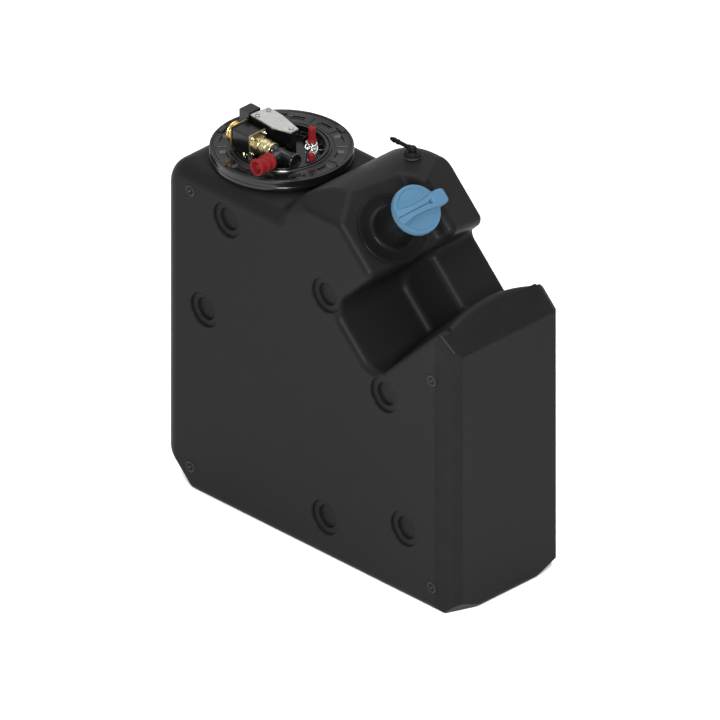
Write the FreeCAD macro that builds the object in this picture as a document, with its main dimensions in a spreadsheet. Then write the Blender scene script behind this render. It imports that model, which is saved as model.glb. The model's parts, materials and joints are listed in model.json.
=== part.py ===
import FreeCAD, Part

import math
import os
import re

import Sketcher

# A moulded fluid tank for a truck chassis. +X runs along the tank towards the filler end,
# +Y across it, +Z up. The origin is at the middle of the tank's length, on its bottom plane.

doc = FreeCAD.newDocument("fluid_tank")
Vector = FreeCAD.Vector
X_AXIS = Vector(1, 0, 0)
Y_AXIS = Vector(0, 1, 0)
Z_AXIS = Vector(0, 0, 1)

# ---------------------------------------------------------------- driving dimensions, mm

DIMENSIONS = {
    # Tank moulding
    "tank_left": -287, "tank_right": 289, "half_width": 109, "left_top": 522, "block_top": 577,
    "wall": 6, "long_edge_radius": 26, "bottom_edge_radius": 11, "end_arc_radius": 45,
    "bottom_chamfer": 57, "block_arc_x": 46, "block_arc_radius": 126,
    "block_foot_radius": 14, "edge_radius": 12, "end_edge_radius": 6, "corner_edge_radius": 4,
    "chamfer_edge_radius": 6, "end_corner_radius": 28,
    "facet_width": 42, "facet_drop": 30, "end_slope_sum": 709, "band_start": 250,
    "band_end": 280, "band_inset": 7, "panel_half_width": 93,
    "relief_height": 27, "relief_half_gap": 40,
    # Slanted filler pad, raised rear part of the block, and the channel beside them
    "pad_sum": 628, "pad_tilt": 0.14, "rear_sum": 688, "rear_tilt": 0.55, "step_y": 22,
    "channel_low": -255, "channel_high": -140, "channel_floor": 323, "channel_radius": 28,
    "shelf_floor": 410, "ridge_crown_radius": 255, "ridge_crown_s": -155,
    # Round recesses, inserts
    "dimple_radius": 26.6, "dimple_depth": 4, "dimple_core_radius": 17, "dimple_core_depth": 9,
    "dimple_edge_radius": 2,
    "insert_radius": 8, "insert_bore_radius": 4.25, "insert_length": 16, "insert_rim": 11,
    # Header mouth and header unit
    "header_x": -161, "mouth_radius": 80, "collar_radius": 94.5, "collar_height": 8,
    "lug_reach": 3.4, "lug_height": 2.4, "ring_radius": 101.5, "ring_skirt": 3, "ring_skirt_low": 525.5,
    "ring_top": 541.5, "ring_plate_low": 535.8, "ring_plate_high": 538.8, "ring_inner_radius": 68,
    "ring_window_radius": 82, "gasket_thick": 2, "flange_radius": 92, "flange_thick": 3.5,
    "dish_radius": 66.5, "dish_wall": 4, "dish_floor_low": 524, "dish_floor_high": 527,
    "dish_rim_top": 540,
    # Coolant valve
    "valve_y": -42, "valve_z": 560, "coil_left": -203, "coil_right": -168, "coil_half": 15,
    "frame_thick": 2, "end_ring_radius": 16.5, "brass_radius": 13, "brass_end": -134,
    "barrel_radius": 11.5, "barrel_end": -91,
    # Sensor housing, plate, connector
    "plate_z": 582, "plate_thick": 2, "connector_left": -221, "connector_right": -202,
    # Ports and caps
    "side_port_x": -119, "side_port_radius": 8, "side_cap_radius": 12.6,
    "tall_port_x": -123, "tall_port_y": 22, "small_port_x": -105, "small_port_y": 3,
    "cap_clearance": 0.35,
    # Under the header
    "suction_x": -178, "suction_y": 34, "suction_foot": 16, "tube_radius": 5, "tube_wall": 1.2,
    "stem_x": -178, "stem_y": -34, "stem_radius": 6, "stem_foot": 34,
    "float_radius": 21, "float_height": 34, "float_rest": 52, "loop_x": -128, "loop_half": 20,
    "loop_foot": 70, "loop_spread": 16,
    # Filler
    "filler_x": 95.5, "filler_y": -40, "neck_radius": 29, "neck_bore": 24.5, "neck_length": 76,
    "neck_flange_radius": 53, "neck_flange_thick": 3, "seal_thick": 1.2, "filler_hole_radius": 30,
    "plug_radius": 22.8, "plug_depth": 26, "cap_radius": 36.4, "cap_thick": 9, "cap_skirt": 2.4,
    "grip_reach": 49, "grip_height": 7, "grip_half_end": 12, "grip_half_waist": 8,
    "grip_hole_offset": 21, "grip_hole_radius": 3, "cap_seal_thick": 2.2,
    # Vent
    "vent_x": 36, "vent_y": 62, "vent_disc_radius": 12.6, "vent_tube_height": 13.5,
    "vent_stack_radius": 6, "vent_tube_radius": 3.2, "vent_shoulder": 9, "vent_reach": 43,
}

sheet = doc.addObject("Spreadsheet::Sheet", "Dims")
for row, (alias, number) in enumerate(DIMENSIONS.items(), start=1):
    sheet.set(f"A{row}", alias)
    sheet.set(f"B{row}", str(number))
    sheet.setAlias(f"B{row}", alias)
doc.recompute()


def value(expression):
    """The number that an expression in the sheet's aliases works out to."""
    return float(sheet.evalExpression(str(expression)))


def bound(expression):
    """The same expression, written for a property of another object."""
    return re.sub(r"[A-Za-z_]\w*", lambda m: "Dims." + m[0] if m[0] in DIMENSIONS else m[0],
                  str(expression))


def bind(item, **expressions):
    """Bind properties to the sheet; a double underscore stands for a dot."""
    for name, expression in expressions.items():
        item.setExpression(name.replace("__", "."), bound(expression))
    return item


# ---------------------------------------------------------------- ways of making a piece

pieces = []


def keep(item, label):
    """Record a finished sub-part under its own label."""
    item.Label = label
    pieces.append(item)
    return item


def place(item, x=0, y=0, z=0, rotation=None):
    """Give an object its Placement, with the position bound to the sheet."""
    if rotation is not None:
        item.Placement = FreeCAD.Placement(Vector(), rotation)
    for axis, expression in zip("xyz", (x, y, z)):
        item.setExpression(f"Placement.Base.{axis}", bound(expression))
    return item


def outline_sketch(body, name, plane_role, loops):
    """A sketch of closed straight-sided loops whose corners are bound to the sheet."""
    sketch = body.newObject("Sketcher::SketchObject", name)
    plane = next(item for item in body.Origin.OriginFeatures if item.Role == plane_role)
    sketch.AttachmentSupport = [(plane, "")]
    sketch.MapMode = "FlatFace"
    first = 0
    for loop in loops:
        count = len(loop)
        corners = [Vector(value(across), value(up), 0) for across, up in loop]
        for index in range(count):
            sketch.addGeometry(Part.LineSegment(corners[index], corners[(index + 1) % count]))
        for index in range(count):
            following = first + (index + 1) % count
            sketch.addConstraint(Sketcher.Constraint("Coincident", first + index, 2, following, 1))
            for kind, number, text in zip(("DistanceX", "DistanceY"), corners[index], loop[index]):
                row = sketch.addConstraint(
                    Sketcher.Constraint(kind, -1, 1, first + index, 1, number))
                label = f"{kind}_{first + index}"
                sketch.renameConstraint(row, label)
                sketch.setExpression(f"Constraints.{label}", bound(text))
        first += count
    return sketch


def turned(label, *loops):
    """A body turned about its own Z axis from half sections given as (radius, height)."""
    body = doc.addObject("PartDesign::Body", label + "_body")
    sketch = outline_sketch(body, label + "_section", "XZ_Plane", loops)
    feature = body.newObject("PartDesign::Revolution", label + "_turn")
    feature.Profile = sketch
    feature.ReferenceAxis = (sketch, ["V_Axis"])
    feature.Angle = 360
    body.Tip = feature
    return body


def padded(label, loops, length):
    """A body padded up from its own XY plane."""
    body = doc.addObject("PartDesign::Body", label + "_body")
    sketch = outline_sketch(body, label + "_outline", "XY_Plane", loops)
    feature = body.newObject("PartDesign::Pad", label + "_pad")
    feature.Profile = sketch
    bind(feature, Length=length)
    body.Tip = feature
    return body


def box(name, low, high):
    """A box between two corners, each given as three expressions."""
    item = doc.addObject("Part::Box", name)
    sizes = [f"({top}) - ({bottom})" for bottom, top in zip(low, high)]
    bind(item, Length=sizes[0], Width=sizes[1], Height=sizes[2])
    return place(item, *low)


def rod(name, radius, length, x=0, y=0, z=0, rotation=None):
    """A round bar that starts at a point and runs along its own Z axis."""
    item = doc.addObject("Part::Cylinder", name)
    bind(item, Radius=radius, Height=length)
    return place(item, x, y, z, rotation)


def join(name, parts):
    item = doc.addObject("Part::MultiFuse", name)
    item.Shapes = parts
    return item


def subtract(name, base, tool):
    item = doc.addObject("Part::Cut", name)
    item.Base = base
    item.Tool = tool
    return item


def group(name, parts):
    """Separate solids kept in one sub-part."""
    item = doc.addObject("Part::Compound", name)
    item.Links = parts
    return item


TO_MINUS_Y = FreeCAD.Rotation(X_AXIS, 90)
TO_PLUS_X = FreeCAD.Rotation(Y_AXIS, 90)
TO_MINUS_X = FreeCAD.Rotation(Y_AXIS, -90)

# ---------------------------------------------------------------- tank moulding

SLANT = math.sqrt(2)
DIMPLES = [(-161, 465), (-206, 302), (34, 423), (150, 309), (34, 64), (190, 109)]
INSERTS = [(-234, 482), (-234, 36), (244, 370), (244, 36)]


def prism(points, direction):
    return Part.Face(Part.makePolygon(points + points[:1])).extrude(direction)


def slanted_prism(low_s, high_s, low_t, high_t, low_y, high_y):
    """A block in the slanted frame: s runs down the 45 degree slope and t out of it."""
    corners = [(low_s, low_t), (high_s, low_t), (high_s, high_t), (low_s, high_t)]
    points = [Vector((s + t) / SLANT, low_y, (t - s) / SLANT) for s, t in corners]
    return prism(points, Vector(0, high_y - low_y, 0))


def near(edge, test):
    """Whether both ends and the middle of an edge pass a test."""
    low, high = edge.FirstParameter, edge.LastParameter
    return all(test(edge.valueAt(at)) for at in (low, (low + high) / 2, high))


def edge_middle(edge):
    return edge.valueAt((edge.FirstParameter + edge.LastParameter) / 2)


def side_outline(inset):
    """The tank seen from its broad side, moved inwards by a wall's thickness."""
    left = value("tank_left") + inset
    right = value("tank_right") - inset
    low_top = value("left_top") - inset
    top = value("block_top") - inset
    corner = value("end_arc_radius") - inset
    cut = value("bottom_chamfer") + inset * (SLANT - 2)
    slope = value("end_slope_sum") - inset * SLANT
    arc_x = value("block_arc_x")
    arc_z = value("block_top - block_arc_radius")
    radius = value("block_arc_radius") - inset
    foot = value("block_foot_radius") + inset
    foot_x = arc_x - math.sqrt((radius + foot) ** 2 - (low_top + foot - arc_z) ** 2)

    def at(x, z):
        return Vector(x, 0, z)

    bend = corner * (1 - math.sqrt(0.5))
    arc_centre = at(arc_x, arc_z)
    foot_centre = at(foot_x, low_top + foot)
    reach = (foot_centre - arc_centre).normalize()
    join_point = arc_centre + reach * radius
    arc_middle = arc_centre + (reach + Z_AXIS).normalize() * radius
    foot_middle = foot_centre - (reach + Z_AXIS).normalize() * foot
    edges = [
        Part.LineSegment(at(left + cut, inset), at(right, inset)),
        Part.LineSegment(at(right, inset), at(right, slope - right)),
        Part.LineSegment(at(right, slope - right), at(slope - top, top)),
        Part.LineSegment(at(slope - top, top), at(arc_x, top)),
        Part.Arc(at(arc_x, top), arc_middle, join_point),
        Part.Arc(join_point, foot_middle, at(foot_x, low_top)),
        Part.LineSegment(at(foot_x, low_top), at(left + corner, low_top)),
        Part.Arc(at(left + corner, low_top), at(left + bend, low_top - bend),
                 at(left, low_top - corner)),
        Part.LineSegment(at(left, low_top - corner), at(left, inset + cut)),
        Part.LineSegment(at(left, inset + cut), at(left + cut, inset)),
    ]
    return Part.Face(Part.Wire([edge.toShape() for edge in edges]))


def tank_block(inset):
    """The tank as a solid, before the filler pad and channel are cut into it."""
    half = value("half_width") - inset
    outline = side_outline(inset)
    outline.translate(Vector(0, -half, 0))
    solid = outline.extrude(Vector(0, 2 * half, 0))
    end_reach = value("tank_left") + 60
    low_top = value("left_top") - inset
    above_foot = inset + 0.5
    rim = [edge for edge in solid.Edges if near(edge, lambda p: abs(abs(p.y) - half) < 0.01)]
    soft = [edge for edge in rim
            if near(edge, lambda p: p.x < end_reach and p.z > above_foot)
            or near(edge, lambda p: abs(p.z - low_top) < 0.01)]
    solid = solid.makeFillet(max(value("long_edge_radius") - inset, 4), soft)
    rim = [edge for edge in solid.Edges if near(edge, lambda p: p.z < inset + 0.01)]
    return solid.makeFillet(max(value("bottom_edge_radius") - inset, 4), rim)


def plan_trim(inset):
    """What the plan view takes off: a tapered band down each corner of the end face."""
    start = value("band_start")
    half = value("half_width") - inset
    end = value("band_end") - inset
    shoulder = half - value("band_inset")
    right = value("tank_right") - inset
    panel = value("panel_half_width") - inset
    side = [Vector(start, -half, 0), Vector(end, -shoulder, 0), Vector(right, -panel, 0)]
    other = [Vector(point.x, -point.y, 0) for point in reversed(side)]
    far = right + 50
    wide = half + 50
    surround = [Vector(start, wide, 0), Vector(far, wide, 0), Vector(far, -wide, 0),
                Vector(start, -wide, 0)]
    return prism(side + other + surround, Vector(0, 0, 900))


def facet_trim(inset):
    """The chamfer along the front top edge of the filler block."""
    half = value("half_width") - inset
    top = value("block_top") - inset
    width = value("facet_width")
    drop = value("facet_drop")
    points = [Vector(-200, -half, top - drop), Vector(-200, -half + width, top),
              Vector(-200, -half + width, top + 50), Vector(-200, -half - 50, top + 50),
              Vector(-200, -half - 50, top - drop)]
    return prism(points, Vector(600, 0, 0))


def tilted_trim(total, tilt, low_y, high_y):
    """What lies outside the plane x + tilt*y + z = total, between two widths of the block."""
    middle_s = value("(channel_low + channel_high) / 2")
    low_s = value("channel_low") - 400
    block = slanted_prism(low_s, middle_s, 0, 1500, low_y, high_y)
    normal = Vector(1, tilt, 1)
    foot = Vector(total / 2, 0, total / 2)
    side = Part.makePlane(4000, 4000, Vector(0, 0, 0), Z_AXIS)
    side.translate(Vector(-2000, -2000, 0))
    side.Placement = FreeCAD.Placement(foot, FreeCAD.Rotation(Z_AXIS, normal)).multiply(
        side.Placement)
    return block.common(side.extrude(normal * 1000))


def channel_trim(inset):
    """The channel across the tank: a deep front part, a shelf behind it and a crowned ridge."""
    low = value("channel_low") - inset
    high = value("channel_high") + inset
    step = value("step_y") + inset
    half = value("half_width") + 60
    deep = slanted_prism(low, high, value("channel_floor") - inset, 1200, -half, step)
    corners = [edge for edge in deep.Edges
               if near(edge, lambda p: (p.x + p.z) / SLANT < value("channel_floor") + 1)
               and abs(edge.Length - half - step) < 0.01]
    deep = deep.makeFillet(value("channel_radius") + inset, corners)
    shelf = slanted_prism(low, high, value("shelf_floor") - inset, 1200, step - 5, half)
    radius = value("ridge_crown_radius") - inset
    centre_s = value("ridge_crown_s") + value("ridge_crown_radius")
    base = Vector(centre_s / SLANT, 0, -centre_s / SLANT)
    crown = Part.makeCylinder(radius, 3000, base, Vector(1, 0, 1))
    return deep.fuse(shelf).cut(crown)


def relief_trims(inset):
    """Two sloped facets at the foot of the end face that run out towards its middle."""
    height = value("relief_height")
    reach = 2 * (value("half_width") - value("relief_half_gap"))
    trims = []
    for side in (-1, 1):
        tip = Vector(value("tank_right") - inset, side * value("relief_half_gap"), inset)
        back = tip + Vector(-2 * height, side * reach, 0)
        high = tip + Vector(0, side * reach, 2 * height)
        trims.append(prism([tip, back, high], Vector(1, 0, -1) * 80))
    return trims


def end_corner_trim(inset):
    """What rounds the rear end of the ridge and the rear edge of the end slope below it."""
    radius = value("end_corner_radius") - inset
    low_t = value("end_slope_sum") / SLANT - inset - radius
    low_y = value("half_width") - inset - radius
    ridge_s = value("channel_high") + inset
    corner = slanted_prism(ridge_s - 20, 200, low_t, low_t + 100, low_y, low_y + 100)
    foot = Vector((low_t + ridge_s - 20) / SLANT, low_y, (low_t - ridge_s + 20) / SLANT)
    slope_side = corner.cut(Part.makeCylinder(radius, 400, foot, Vector(1, 0, -1)))
    middle_s = ridge_s + radius
    floor_t = value("shelf_floor + edge_radius")
    nose = slanted_prism(ridge_s - 20, middle_s, floor_t, low_t + 100, low_y, low_y + 100)
    pivot = Vector((floor_t + middle_s) / SLANT, low_y, (floor_t - middle_s) / SLANT)
    ridge_end = nose.cut(Part.makeCylinder(radius, 400, pivot, Vector(1, 0, 1)))
    return slope_side.fuse(ridge_end)


def ridge_end_trim():
    """What rounds the two straight ends of the ridge, beyond its crowned middle."""
    radius = value("edge_radius")
    crown = value("ridge_crown_radius")
    start = math.sqrt(crown ** 2 - (crown - value("channel_high - ridge_crown_s")) ** 2)
    centre_s = value("channel_high") + radius
    centre_t = value("end_slope_sum") / SLANT - radius
    length = 2 * value("half_width")
    block = slanted_prism(centre_s - 20, centre_s, centre_t, centre_t + 40, -length, length)
    foot = Vector((centre_s + centre_t) / SLANT, -length, (centre_t - centre_s) / SLANT)
    edge = block.cut(Part.makeCylinder(radius, 2 * length, foot, Y_AXIS))
    return edge.cut(slanted_prism(-400, 400, 0, 900, -start, start))


def formed_tank(inset):
    """The whole outer form of the tank, or of the hollow inside it."""
    half = value("half_width") + 60
    step = value("step_y") + inset
    pad_total = value("pad_sum") - inset * SLANT
    rear_total = value("rear_sum") - inset * 1.52
    solid = tank_block(inset)
    for trim in (plan_trim(inset), facet_trim(inset),
                 tilted_trim(pad_total, -value("pad_tilt"), -half, step),
                 tilted_trim(rear_total, value("rear_tilt"), step - 1, half),
                 channel_trim(inset), *relief_trims(inset)):
        solid = solid.cut(trim)
    return solid.removeSplitter()


def edge_bend(solid, edge):
    """The angle in degrees between the two faces that meet at an edge."""
    faces = solid.ancestorsOfType(edge, Part.Face)
    if len(faces) != 2:
        return 0
    normals = [face.normalAt(*face.Surface.parameter(edge_middle(edge))) for face in faces]
    return math.degrees(normals[0].getAngle(normals[1]))


def rounded_tank():
    """The outer form with its sharp edges rounded, region by region."""
    regions = [
        ("edge_radius", 33, 14, lambda p: p.z > 320 and -90 < p.x < 250),
        ("end_edge_radius", 40, 14, lambda p: p.z > 415 and p.x > 258),
        ("corner_edge_radius", 20, 200, lambda p: 20 < p.z < 330 and p.x > 280),
        ("chamfer_edge_radius", 40, 11, lambda p: p.z < 80 and p.x < -200)]
    solid = formed_tank(0)
    for radius, least_bend, least_length, region in regions:
        edges = [edge for edge in solid.Edges
                 if edge.Length > least_length and region(edge_middle(edge))
                 and edge_bend(solid, edge) > least_bend]
        solid = solid.makeFillet(value(radius), edges)
    return solid


def wall_rod(radius, depth, x, z, side, start=0):
    """A round bar that runs inwards from the front (-1) or rear (1) broad face."""
    foot = Vector(x, side * (value("half_width") - start), z)
    return Part.makeCylinder(radius, depth, foot, Vector(0, -side, 0))


def dimple_edges(solid):
    """The circles around the round recesses: the lip of each and the lip of its deeper core."""
    half = value("half_width")
    lips = [(value("dimple_radius"), half),
            (value("dimple_core_radius"), half - value("dimple_depth"))]

    def on_lip(point):
        return any(abs(math.hypot(point.x - x, point.z - z) - radius) < 0.01
                   and abs(abs(point.y) - y) < 0.01
                   for radius, y in lips for x, z in DIMPLES)

    return [edge for edge in solid.Edges if near(edge, on_lip)]


FILLER_NORMAL = Vector(1, -value("pad_tilt"), 1)
FILLER_TURN = FreeCAD.Rotation(Vector(1, 0, -1), Y_AXIS, FILLER_NORMAL, "ZYX")
FILLER_FOOT = ("filler_x", "filler_y", "pad_sum + pad_tilt * filler_y - filler_x")
FILLER_BASE = Vector(*[value(text) for text in FILLER_FOOT])


def hollow_shell():
    """The moulding: outer form less the hollow, with its recesses, insert pockets and holes."""
    outer = rounded_tank().cut(end_corner_trim(0)).cut(ridge_end_trim())
    hollow = formed_tank(value("wall")).cut(end_corner_trim(value("wall")))
    wall = value("wall")
    for side in (-1, 1):
        for x, z in DIMPLES:
            core_depth = value("dimple_core_depth")
            outer = outer.cut(wall_rod(value("dimple_radius"), value("dimple_depth"), x, z, side))
            outer = outer.cut(wall_rod(value("dimple_core_radius"), core_depth, x, z, side))
            hollow = hollow.cut(wall_rod(value("dimple_radius") + wall / 2,
                                         core_depth + wall, x, z, side))
    outer = outer.makeFillet(value("dimple_edge_radius"), dimple_edges(outer))
    for x, z in INSERTS:
        depth = value("insert_length")
        outer = outer.cut(wall_rod(value("insert_radius"), depth, x, z, -1))
        hollow = hollow.cut(wall_rod(value("insert_radius") + wall, depth + wall, x, z, -1))
    shell = outer.cut(hollow)
    mouth = Part.makeCylinder(value("mouth_radius"), 60,
                              Vector(value("header_x"), 0, value("left_top") - 30))
    throat = Part.makeCylinder(value("neck_bore"), 60, FILLER_BASE - FILLER_NORMAL * 20,
                               FILLER_NORMAL)
    vent = Part.makeCylinder(value("vent_tube_radius + 1.3"), 40,
                             Vector(value("vent_x"), value("vent_y"), value("block_top") - 20))
    return shell.cut(mouth).cut(throat).cut(vent)


tank_shell = doc.addObject("Part::Feature", "tank_shell_form")
tank_shell.Shape = hollow_shell()
tank_shell.Placement = FreeCAD.Placement()
keep(tank_shell, "tank_shell")


def polar_copies(body, feature, sketch, count):
    """Repeat a feature evenly around the body's Z axis."""
    pattern = body.newObject("PartDesign::PolarPattern", feature.Name + "_pattern")
    pattern.Originals = [feature]
    pattern.Axis = (sketch, ["V_Axis"])
    pattern.Angle = 360
    pattern.Occurrences = count
    body.Tip = pattern


def add_lugs(body, name, loop, angle, count):
    """Lugs around a turned body: a half section swept through part of a turn and repeated."""
    sketch = outline_sketch(body, name + "_section", "XZ_Plane", [loop])
    lug = body.newObject("PartDesign::Revolution", name)
    lug.Profile = sketch
    lug.ReferenceAxis = (sketch, ["V_Axis"])
    lug.Angle = angle
    lug.Midplane = True
    body.Tip = lug
    doc.recompute()
    polar_copies(body, lug, sketch, count)


def ring_loop(inner, outer, low, high):
    """A rectangular half section."""
    return [(inner, low), (outer, low), (outer, high), (inner, high)]


LUG_COUNT = 6
LUG_ANGLE = 24
COLLAR_TOP = "left_top + collar_height"

mouth_collar = turned("mouth_collar",
                      ring_loop("mouth_radius", "collar_radius", "left_top", COLLAR_TOP))
add_lugs(mouth_collar, "collar_lug",
         ring_loop("collar_radius - 1", "collar_radius + lug_reach",
                   COLLAR_TOP + " - lug_height", COLLAR_TOP), LUG_ANGLE, LUG_COUNT)
keep(place(mouth_collar, x="header_x"), "mouth_collar")

# The insert sleeves: plain barrels with a flange let into the broad face.
sleeves = []
for number, (x, z) in enumerate(INSERTS):
    sleeve = turned(f"sleeve_{number}",
                    ring_loop("insert_bore_radius", "insert_radius", 0, "insert_length"))
    sleeves.append(place(sleeve, x, "insert_length - half_width", z, TO_MINUS_Y))
keep(group("sleeves", sleeves), "mounting_inserts")

# ---------------------------------------------------------------- header: ring, seal and dish

WINDOW_COUNT = 12

lock_ring = turned("lock_ring", [
    ("ring_inner_radius", "ring_plate_low"), ("ring_radius - ring_skirt", "ring_plate_low"),
    ("ring_radius - ring_skirt", "ring_skirt_low"), ("ring_radius", "ring_skirt_low"),
    ("ring_radius", "ring_top"), ("ring_radius - ring_skirt", "ring_top"),
    ("ring_radius - ring_skirt", "ring_plate_high"), ("ring_inner_radius", "ring_plate_high")])
add_lugs(lock_ring, "ring_lug",
         ring_loop("collar_radius + 0.5", "ring_radius - ring_skirt / 2", "ring_skirt_low",
                   COLLAR_TOP + " - lug_height - 0.3"), LUG_ANGLE, LUG_COUNT)
window_sketch = outline_sketch(lock_ring, "window_outline", "XY_Plane", [[
    ("ring_window_radius - 5", "-7"), ("ring_window_radius + 5", "-7"),
    ("ring_window_radius + 5", "7"), ("ring_window_radius - 5", "7")]])
window = lock_ring.newObject("PartDesign::Pocket", "window")
window.Profile = window_sketch
window.Type = "ThroughAll"
window.Reversed = True
lock_ring.Tip = window
doc.recompute()
window_pattern = lock_ring.newObject("PartDesign::PolarPattern", "window_pattern")
window_pattern.Originals = [window]
window_pattern.Axis = (window_sketch, ["N_Axis"])
window_pattern.Angle = 360
window_pattern.Occurrences = WINDOW_COUNT
lock_ring.Tip = window_pattern
keep(place(lock_ring, x="header_x"), "lock_ring")

GASKET_TOP = COLLAR_TOP + " + gasket_thick"
header_gasket = turned("header_gasket",
                       ring_loop("mouth_radius + 1", "flange_radius - 1", COLLAR_TOP, GASKET_TOP))
keep(place(header_gasket, x="header_x"), "header_gasket")

FLANGE_TOP = GASKET_TOP + " + flange_thick"
header_plate = turned("header_plate", [
    ("0", "dish_floor_low"), ("dish_radius", "dish_floor_low"), ("dish_radius", GASKET_TOP),
    ("flange_radius", GASKET_TOP), ("flange_radius", FLANGE_TOP), ("dish_radius", FLANGE_TOP),
    ("dish_radius", "dish_rim_top"), ("dish_radius - dish_wall", "dish_rim_top"),
    ("dish_radius - dish_wall", "dish_floor_high"), ("0", "dish_floor_high")])
keep(place(header_plate, x="header_x"), "header_plate")

webs = []
for number, (x, y, angle) in enumerate([(-120, -31, -60), (-117, -22, -42), (-114, -13, -24)]):
    web = padded(f"web_{number}", [[("-9", "0"), ("9", "0"), ("9", "5"), ("-9", "22")]], 2.5)
    turn = FreeCAD.Rotation(Z_AXIS, angle).multiply(FreeCAD.Rotation(X_AXIS, 90))
    webs.append(place(web, x, y, "dish_floor_high", turn))
keep(group("webs", webs), "support_webs")

# ---------------------------------------------------------------- coolant valve

coil_low = ("coil_left", "valve_y - coil_half", "valve_z - coil_half")
coil_high = ("coil_right", "valve_y + coil_half", "valve_z + coil_half")
keep(box("coil_block", coil_low, coil_high), "valve_coil")

frame_parts = []
for name, left in (("left", "coil_left - frame_thick"), ("right", "coil_right")):
    right = left + " + frame_thick"
    frame_parts.append(box(f"frame_{name}", (left, "valve_y - coil_half - 1", "valve_z - 17"),
                           (right, "valve_y + coil_half + 1", "valve_z + 17")))
    frame_parts.append(box(f"frame_foot_{name}", (left, "valve_y + 2", "dish_floor_high"),
                           (right, "valve_y + 12", "valve_z - 17")))
frame_parts.append(box("frame_base", ("coil_left", "valve_y - 12", "valve_z - 17"),
                       ("coil_right", "valve_y + 12", "valve_z - coil_half")))
keep(join("frame_form", frame_parts), "coil_frame")

END_START = "coil_left - frame_thick"
keep(rod("coil_cap_form", 11, 9.5, END_START, "valve_y", "valve_z", TO_MINUS_X), "coil_cap")
end_rings = []
for number, start in enumerate((0.8, 5.2)):
    end_ring = turned(f"end_ring_{number}",
                      ring_loop(11, "end_ring_radius", start, start + 3.2))
    end_rings.append(place(end_ring, END_START, "valve_y", "valve_z", TO_MINUS_X))
keep(group("end_rings", end_rings), "coil_end_rings")

BRASS_START = "coil_right + frame_thick"
valve_body = turned("valve_body", [
    ("0", "0"), ("brass_radius", "0"), ("brass_radius", "9"), ("brass_radius - 3", "10"),
    ("brass_radius - 3", "13"), ("brass_radius - 0.5", "14"), ("brass_radius - 0.5", "22"),
    ("brass_radius - 2.5", "23"), ("brass_radius - 2.5", "26"), ("brass_radius - 1", "27"),
    ("brass_radius - 1", f"brass_end - ({BRASS_START})"), ("0", f"brass_end - ({BRASS_START})")])
keep(place(valve_body, BRASS_START, "valve_y", "valve_z", TO_PLUS_X), "valve_body")

BARREL_LENGTH = "barrel_end - brass_end"
barrel = turned("barrel", [
    ("0", "0"), ("barrel_radius", "0"), ("barrel_radius", "4"), ("barrel_radius - 1.5", "5"),
    ("barrel_radius - 1.5", f"{BARREL_LENGTH} - 5"), ("barrel_radius", f"{BARREL_LENGTH} - 4"),
    ("barrel_radius", BARREL_LENGTH), ("0", BARREL_LENGTH)])
place(barrel, "brass_end", "valve_y", "valve_z", TO_PLUS_X)
side_stub = rod("side_stub", "side_port_radius", 34, "side_port_x", "valve_y", "valve_z",
                TO_MINUS_Y)
keep(join("barrel_form", [barrel, side_stub]), "valve_barrel")

# ---------------------------------------------------------------- sensor housing and cover

SCREWS = [(-191, -18), (-191, 4), (-132, -10.5)]
housing_parts = [
    box("housing_main", ("-196", "-23", "dish_floor_high"), ("-150", "8", "plate_z")),
    box("housing_bridge", ("-151", "-14", "dish_floor_high"), ("-137", "-7", "plate_z")),
    box("housing_post", ("-138", "-16", "dish_floor_high"), ("-127", "-5", "plate_z")),
    box("housing_arm", ("connector_right", "-18", "566"), ("-195", "-6", "580"))]
housing = join("housing_solid", housing_parts)
shank_holes = [rod(f"shank_hole_{number}", 2, 12, x, y, "plate_z - 9")
               for number, (x, y) in enumerate(SCREWS)]
keep(subtract("housing_form", housing, join("housing_holes", shank_holes)), "sensor_housing")

plate = padded("plate_solid", [[("-201", "-22"), ("-198", "11"), ("-168", "8.4"), ("-125", "-3"),
                                ("-125", "-18"), ("-154", "-26")]], "plate_thick")
place(plate, z="plate_z")
plate_holes = [rod(f"plate_hole_{number}", 2, 12, x, y, "plate_z - 5")
               for number, (x, y) in enumerate(SCREWS)]
keep(subtract("plate_form", plate, join("plate_holes", plate_holes)), "cover_plate")

PLATE_TOP = "plate_z + plate_thick"
screws = []
for number, (x, y) in enumerate(SCREWS):
    screw = turned(f"screw_{number}", [("0", "-9"), ("1.9", "-9"), ("1.9", "0"), ("3.4", "0"),
                                       ("3.4", "1.4"), ("2.4", "2.2"), ("0", "2.2")])
    screws.append(place(screw, x, y, PLATE_TOP))
keep(group("screws", screws), "cover_screws")

connector = box("connector_solid", ("connector_left", "-24", "564"), ("connector_right", "-1", "586"))
socket = box("connector_socket", ("connector_left - 1", "-21.5", "567"),
             ("connector_right - 4", "-3.5", "583"))
keep(subtract("connector_form", connector, socket), "connector_box")

# ---------------------------------------------------------------- ports, caps and fittings

SIDE_CAP_BORE = "side_port_radius + cap_clearance"
side_cap = turned("side_cap", [
    ("0", "18"), ("0", "20"), ("6", "20"), ("6", "32"), ("9", "32"), ("10", "30"),
    ("side_cap_radius - 2", "24"), ("side_cap_radius", "22"), ("side_cap_radius", "3"),
    ("side_cap_radius - 1", "2"), (SIDE_CAP_BORE, "2"), (SIDE_CAP_BORE, "18")])
place(side_cap, "side_port_x", "valve_y - 17.5", "valve_z", TO_MINUS_Y)
pull_tab = box("pull_tab", ("side_port_x + side_cap_radius - 1", "valve_y - 25", "valve_z - 4"),
               ("side_port_x + side_cap_radius + 4", "valve_y - 20", "valve_z + 1"))
keep(join("side_cap_form", [side_cap, pull_tab]), "side_port_cap")

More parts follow.
